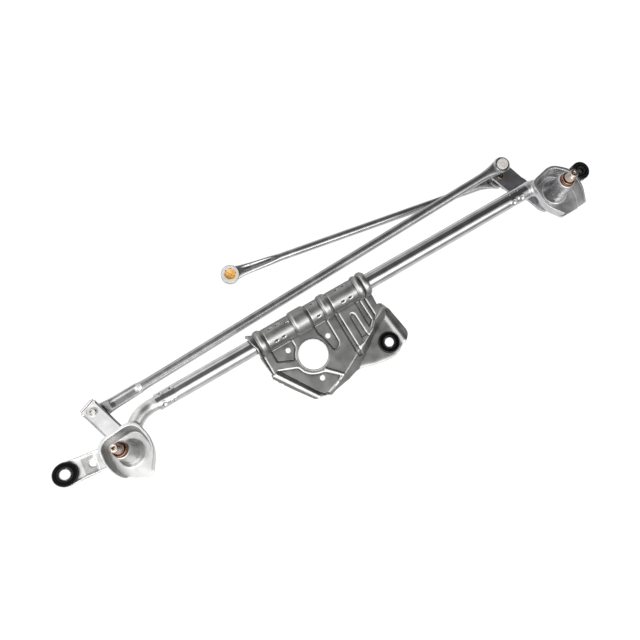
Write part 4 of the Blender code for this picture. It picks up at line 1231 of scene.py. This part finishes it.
def area_light(name, place, target, width, height, watts):
    light = bpy.data.lights.new(name, "AREA")
    light.shape = "RECTANGLE"
    light.size = width
    light.size_y = height
    light.energy = watts
    placed(name, light, upright(place, Vector(place) - Vector(target)))


def build_studio():
    size = FLOOR_HALF
    z = cad_box[0][2] - FLOOR_CLEARANCE
    corners = [(-size, -size, z), (size, -size, z), (size, size, z), (-size, size, z)]
    floor = mesh_piece("studio_floor", np.array(corners) / MM, [(0, 1, 2, 3)], recalc=False)
    paper = bpy.data.materials.new("white_paper")
    paper.use_nodes = True
    tree = paper.node_tree
    shader = tree.nodes["Principled BSDF"]
    shader.inputs["Base Color"].default_value = (0.1, 0.1, 0.1, 1)
    shader.inputs["Roughness"].default_value = 1.0
    shader.inputs["Specular IOR Level"].default_value = 0.0
    shader.inputs["Emission Color"].default_value = (1, 1, 1, 1)
    place = add_node(tree, "TexCoord").outputs["Object"]
    reach = add_node(tree, "VectorMath", {0: place}, operation="LENGTH").outputs["Value"]
    pool = remap(tree, reach, *FLOOR_POOL, 1.0, FLOOR_FAR_LIGHT)
    tree.links.new(pool, shader.inputs["Emission Strength"])
    floor.data.materials.append(paper)

    # Brighter to the left and overhead, with a dark band across the middle and a softbox on the near side
    world = bpy.data.worlds.new("studio")
    world.use_nodes = True
    tree = world.node_tree
    direction = add_node(tree, "TexCoord").outputs["Generated"]
    parts = add_node(tree, "SeparateXYZ", {"Vector": direction}).outputs
    room = remap(tree, parts["X"], *ROOM_SIDES, ROOM_LEFT, ROOM_RIGHT)
    dark = times(
        tree,
        remap(tree, parts["Y"], *DARK_BAND_NEAR, 0, 1),
        remap(tree, parts["Y"], *DARK_BAND_FAR, 1, 0),
        remap(tree, parts["X"], *DARK_BAND_LEFT, 0.0, DARK_BAND),
    )
    low = remap(tree, parts["Z"], *LOW_EDGE, ROOM_LOW, 1.0)
    corner = remap(tree, parts["X"], *CORNER_EDGE, ROOM_CORNER, 1.0)
    room = times(tree, room, maths(tree, "SUBTRACT", 1.0, dark), low, corner)
    softbox = remap(tree, parts["Y"], *SOFTBOX_NEAR, 0.0, SOFTBOX)
    for part, dim, lit in SOFTBOX_EDGES:
        softbox = times(tree, softbox, remap(tree, parts[part], dim, lit, 0.0, 1.0))
    level = maths(tree, "ADD", room, softbox)
    back = tree.nodes["Background"]
    tree.links.new(level, back.inputs["Color"])
    bpy.context.scene.world = world

    area_light("front_softbox", (-0.1, -1.1, 1.25), (0, 0, 0), 2.6, 0.5, 6)
    area_light("left_softbox", (-1.1, -0.25, 0.95), (-0.25, 0, 0), 0.7, 0.9, 4)
    bpy.context.scene.view_settings.view_transform = "Standard"


# ---------------- assembly

build_tube()
build_bracket()
build_castings()
build_grommets()
for crank, crank_axis, crank_level in (
    ("left", LEFT_AXIS, LEFT_LEVER_LEVEL),
    ("right", RIGHT_AXIS, RIGHT_LEVER_LEVEL),
):
    build_spindle(crank, crank_axis, crank_level)
    build_ring(crank, crank_axis)
build_left_lever()
build_right_lever()
for stud in (
    ("left_ball_stud", "left_link_stud", "stud", "left", LEFT_BALL, LEFT_LEVER_LEVEL, -1),
    ("link_ball_stud", "right_link_stud", "shaded_stud", "right", RIGHT_BALL, RIGHT_BALL_LEVEL, 1),
    ("motor_link_ball_stud", "motor_link_stud", "shaded_stud", "right", MOTOR_LINK_BALL, RIGHT_BALL_LEVEL, -1),
):
    build_stud(*stud)
build_links()
finish_small_solids()
build_camera()
build_studio()
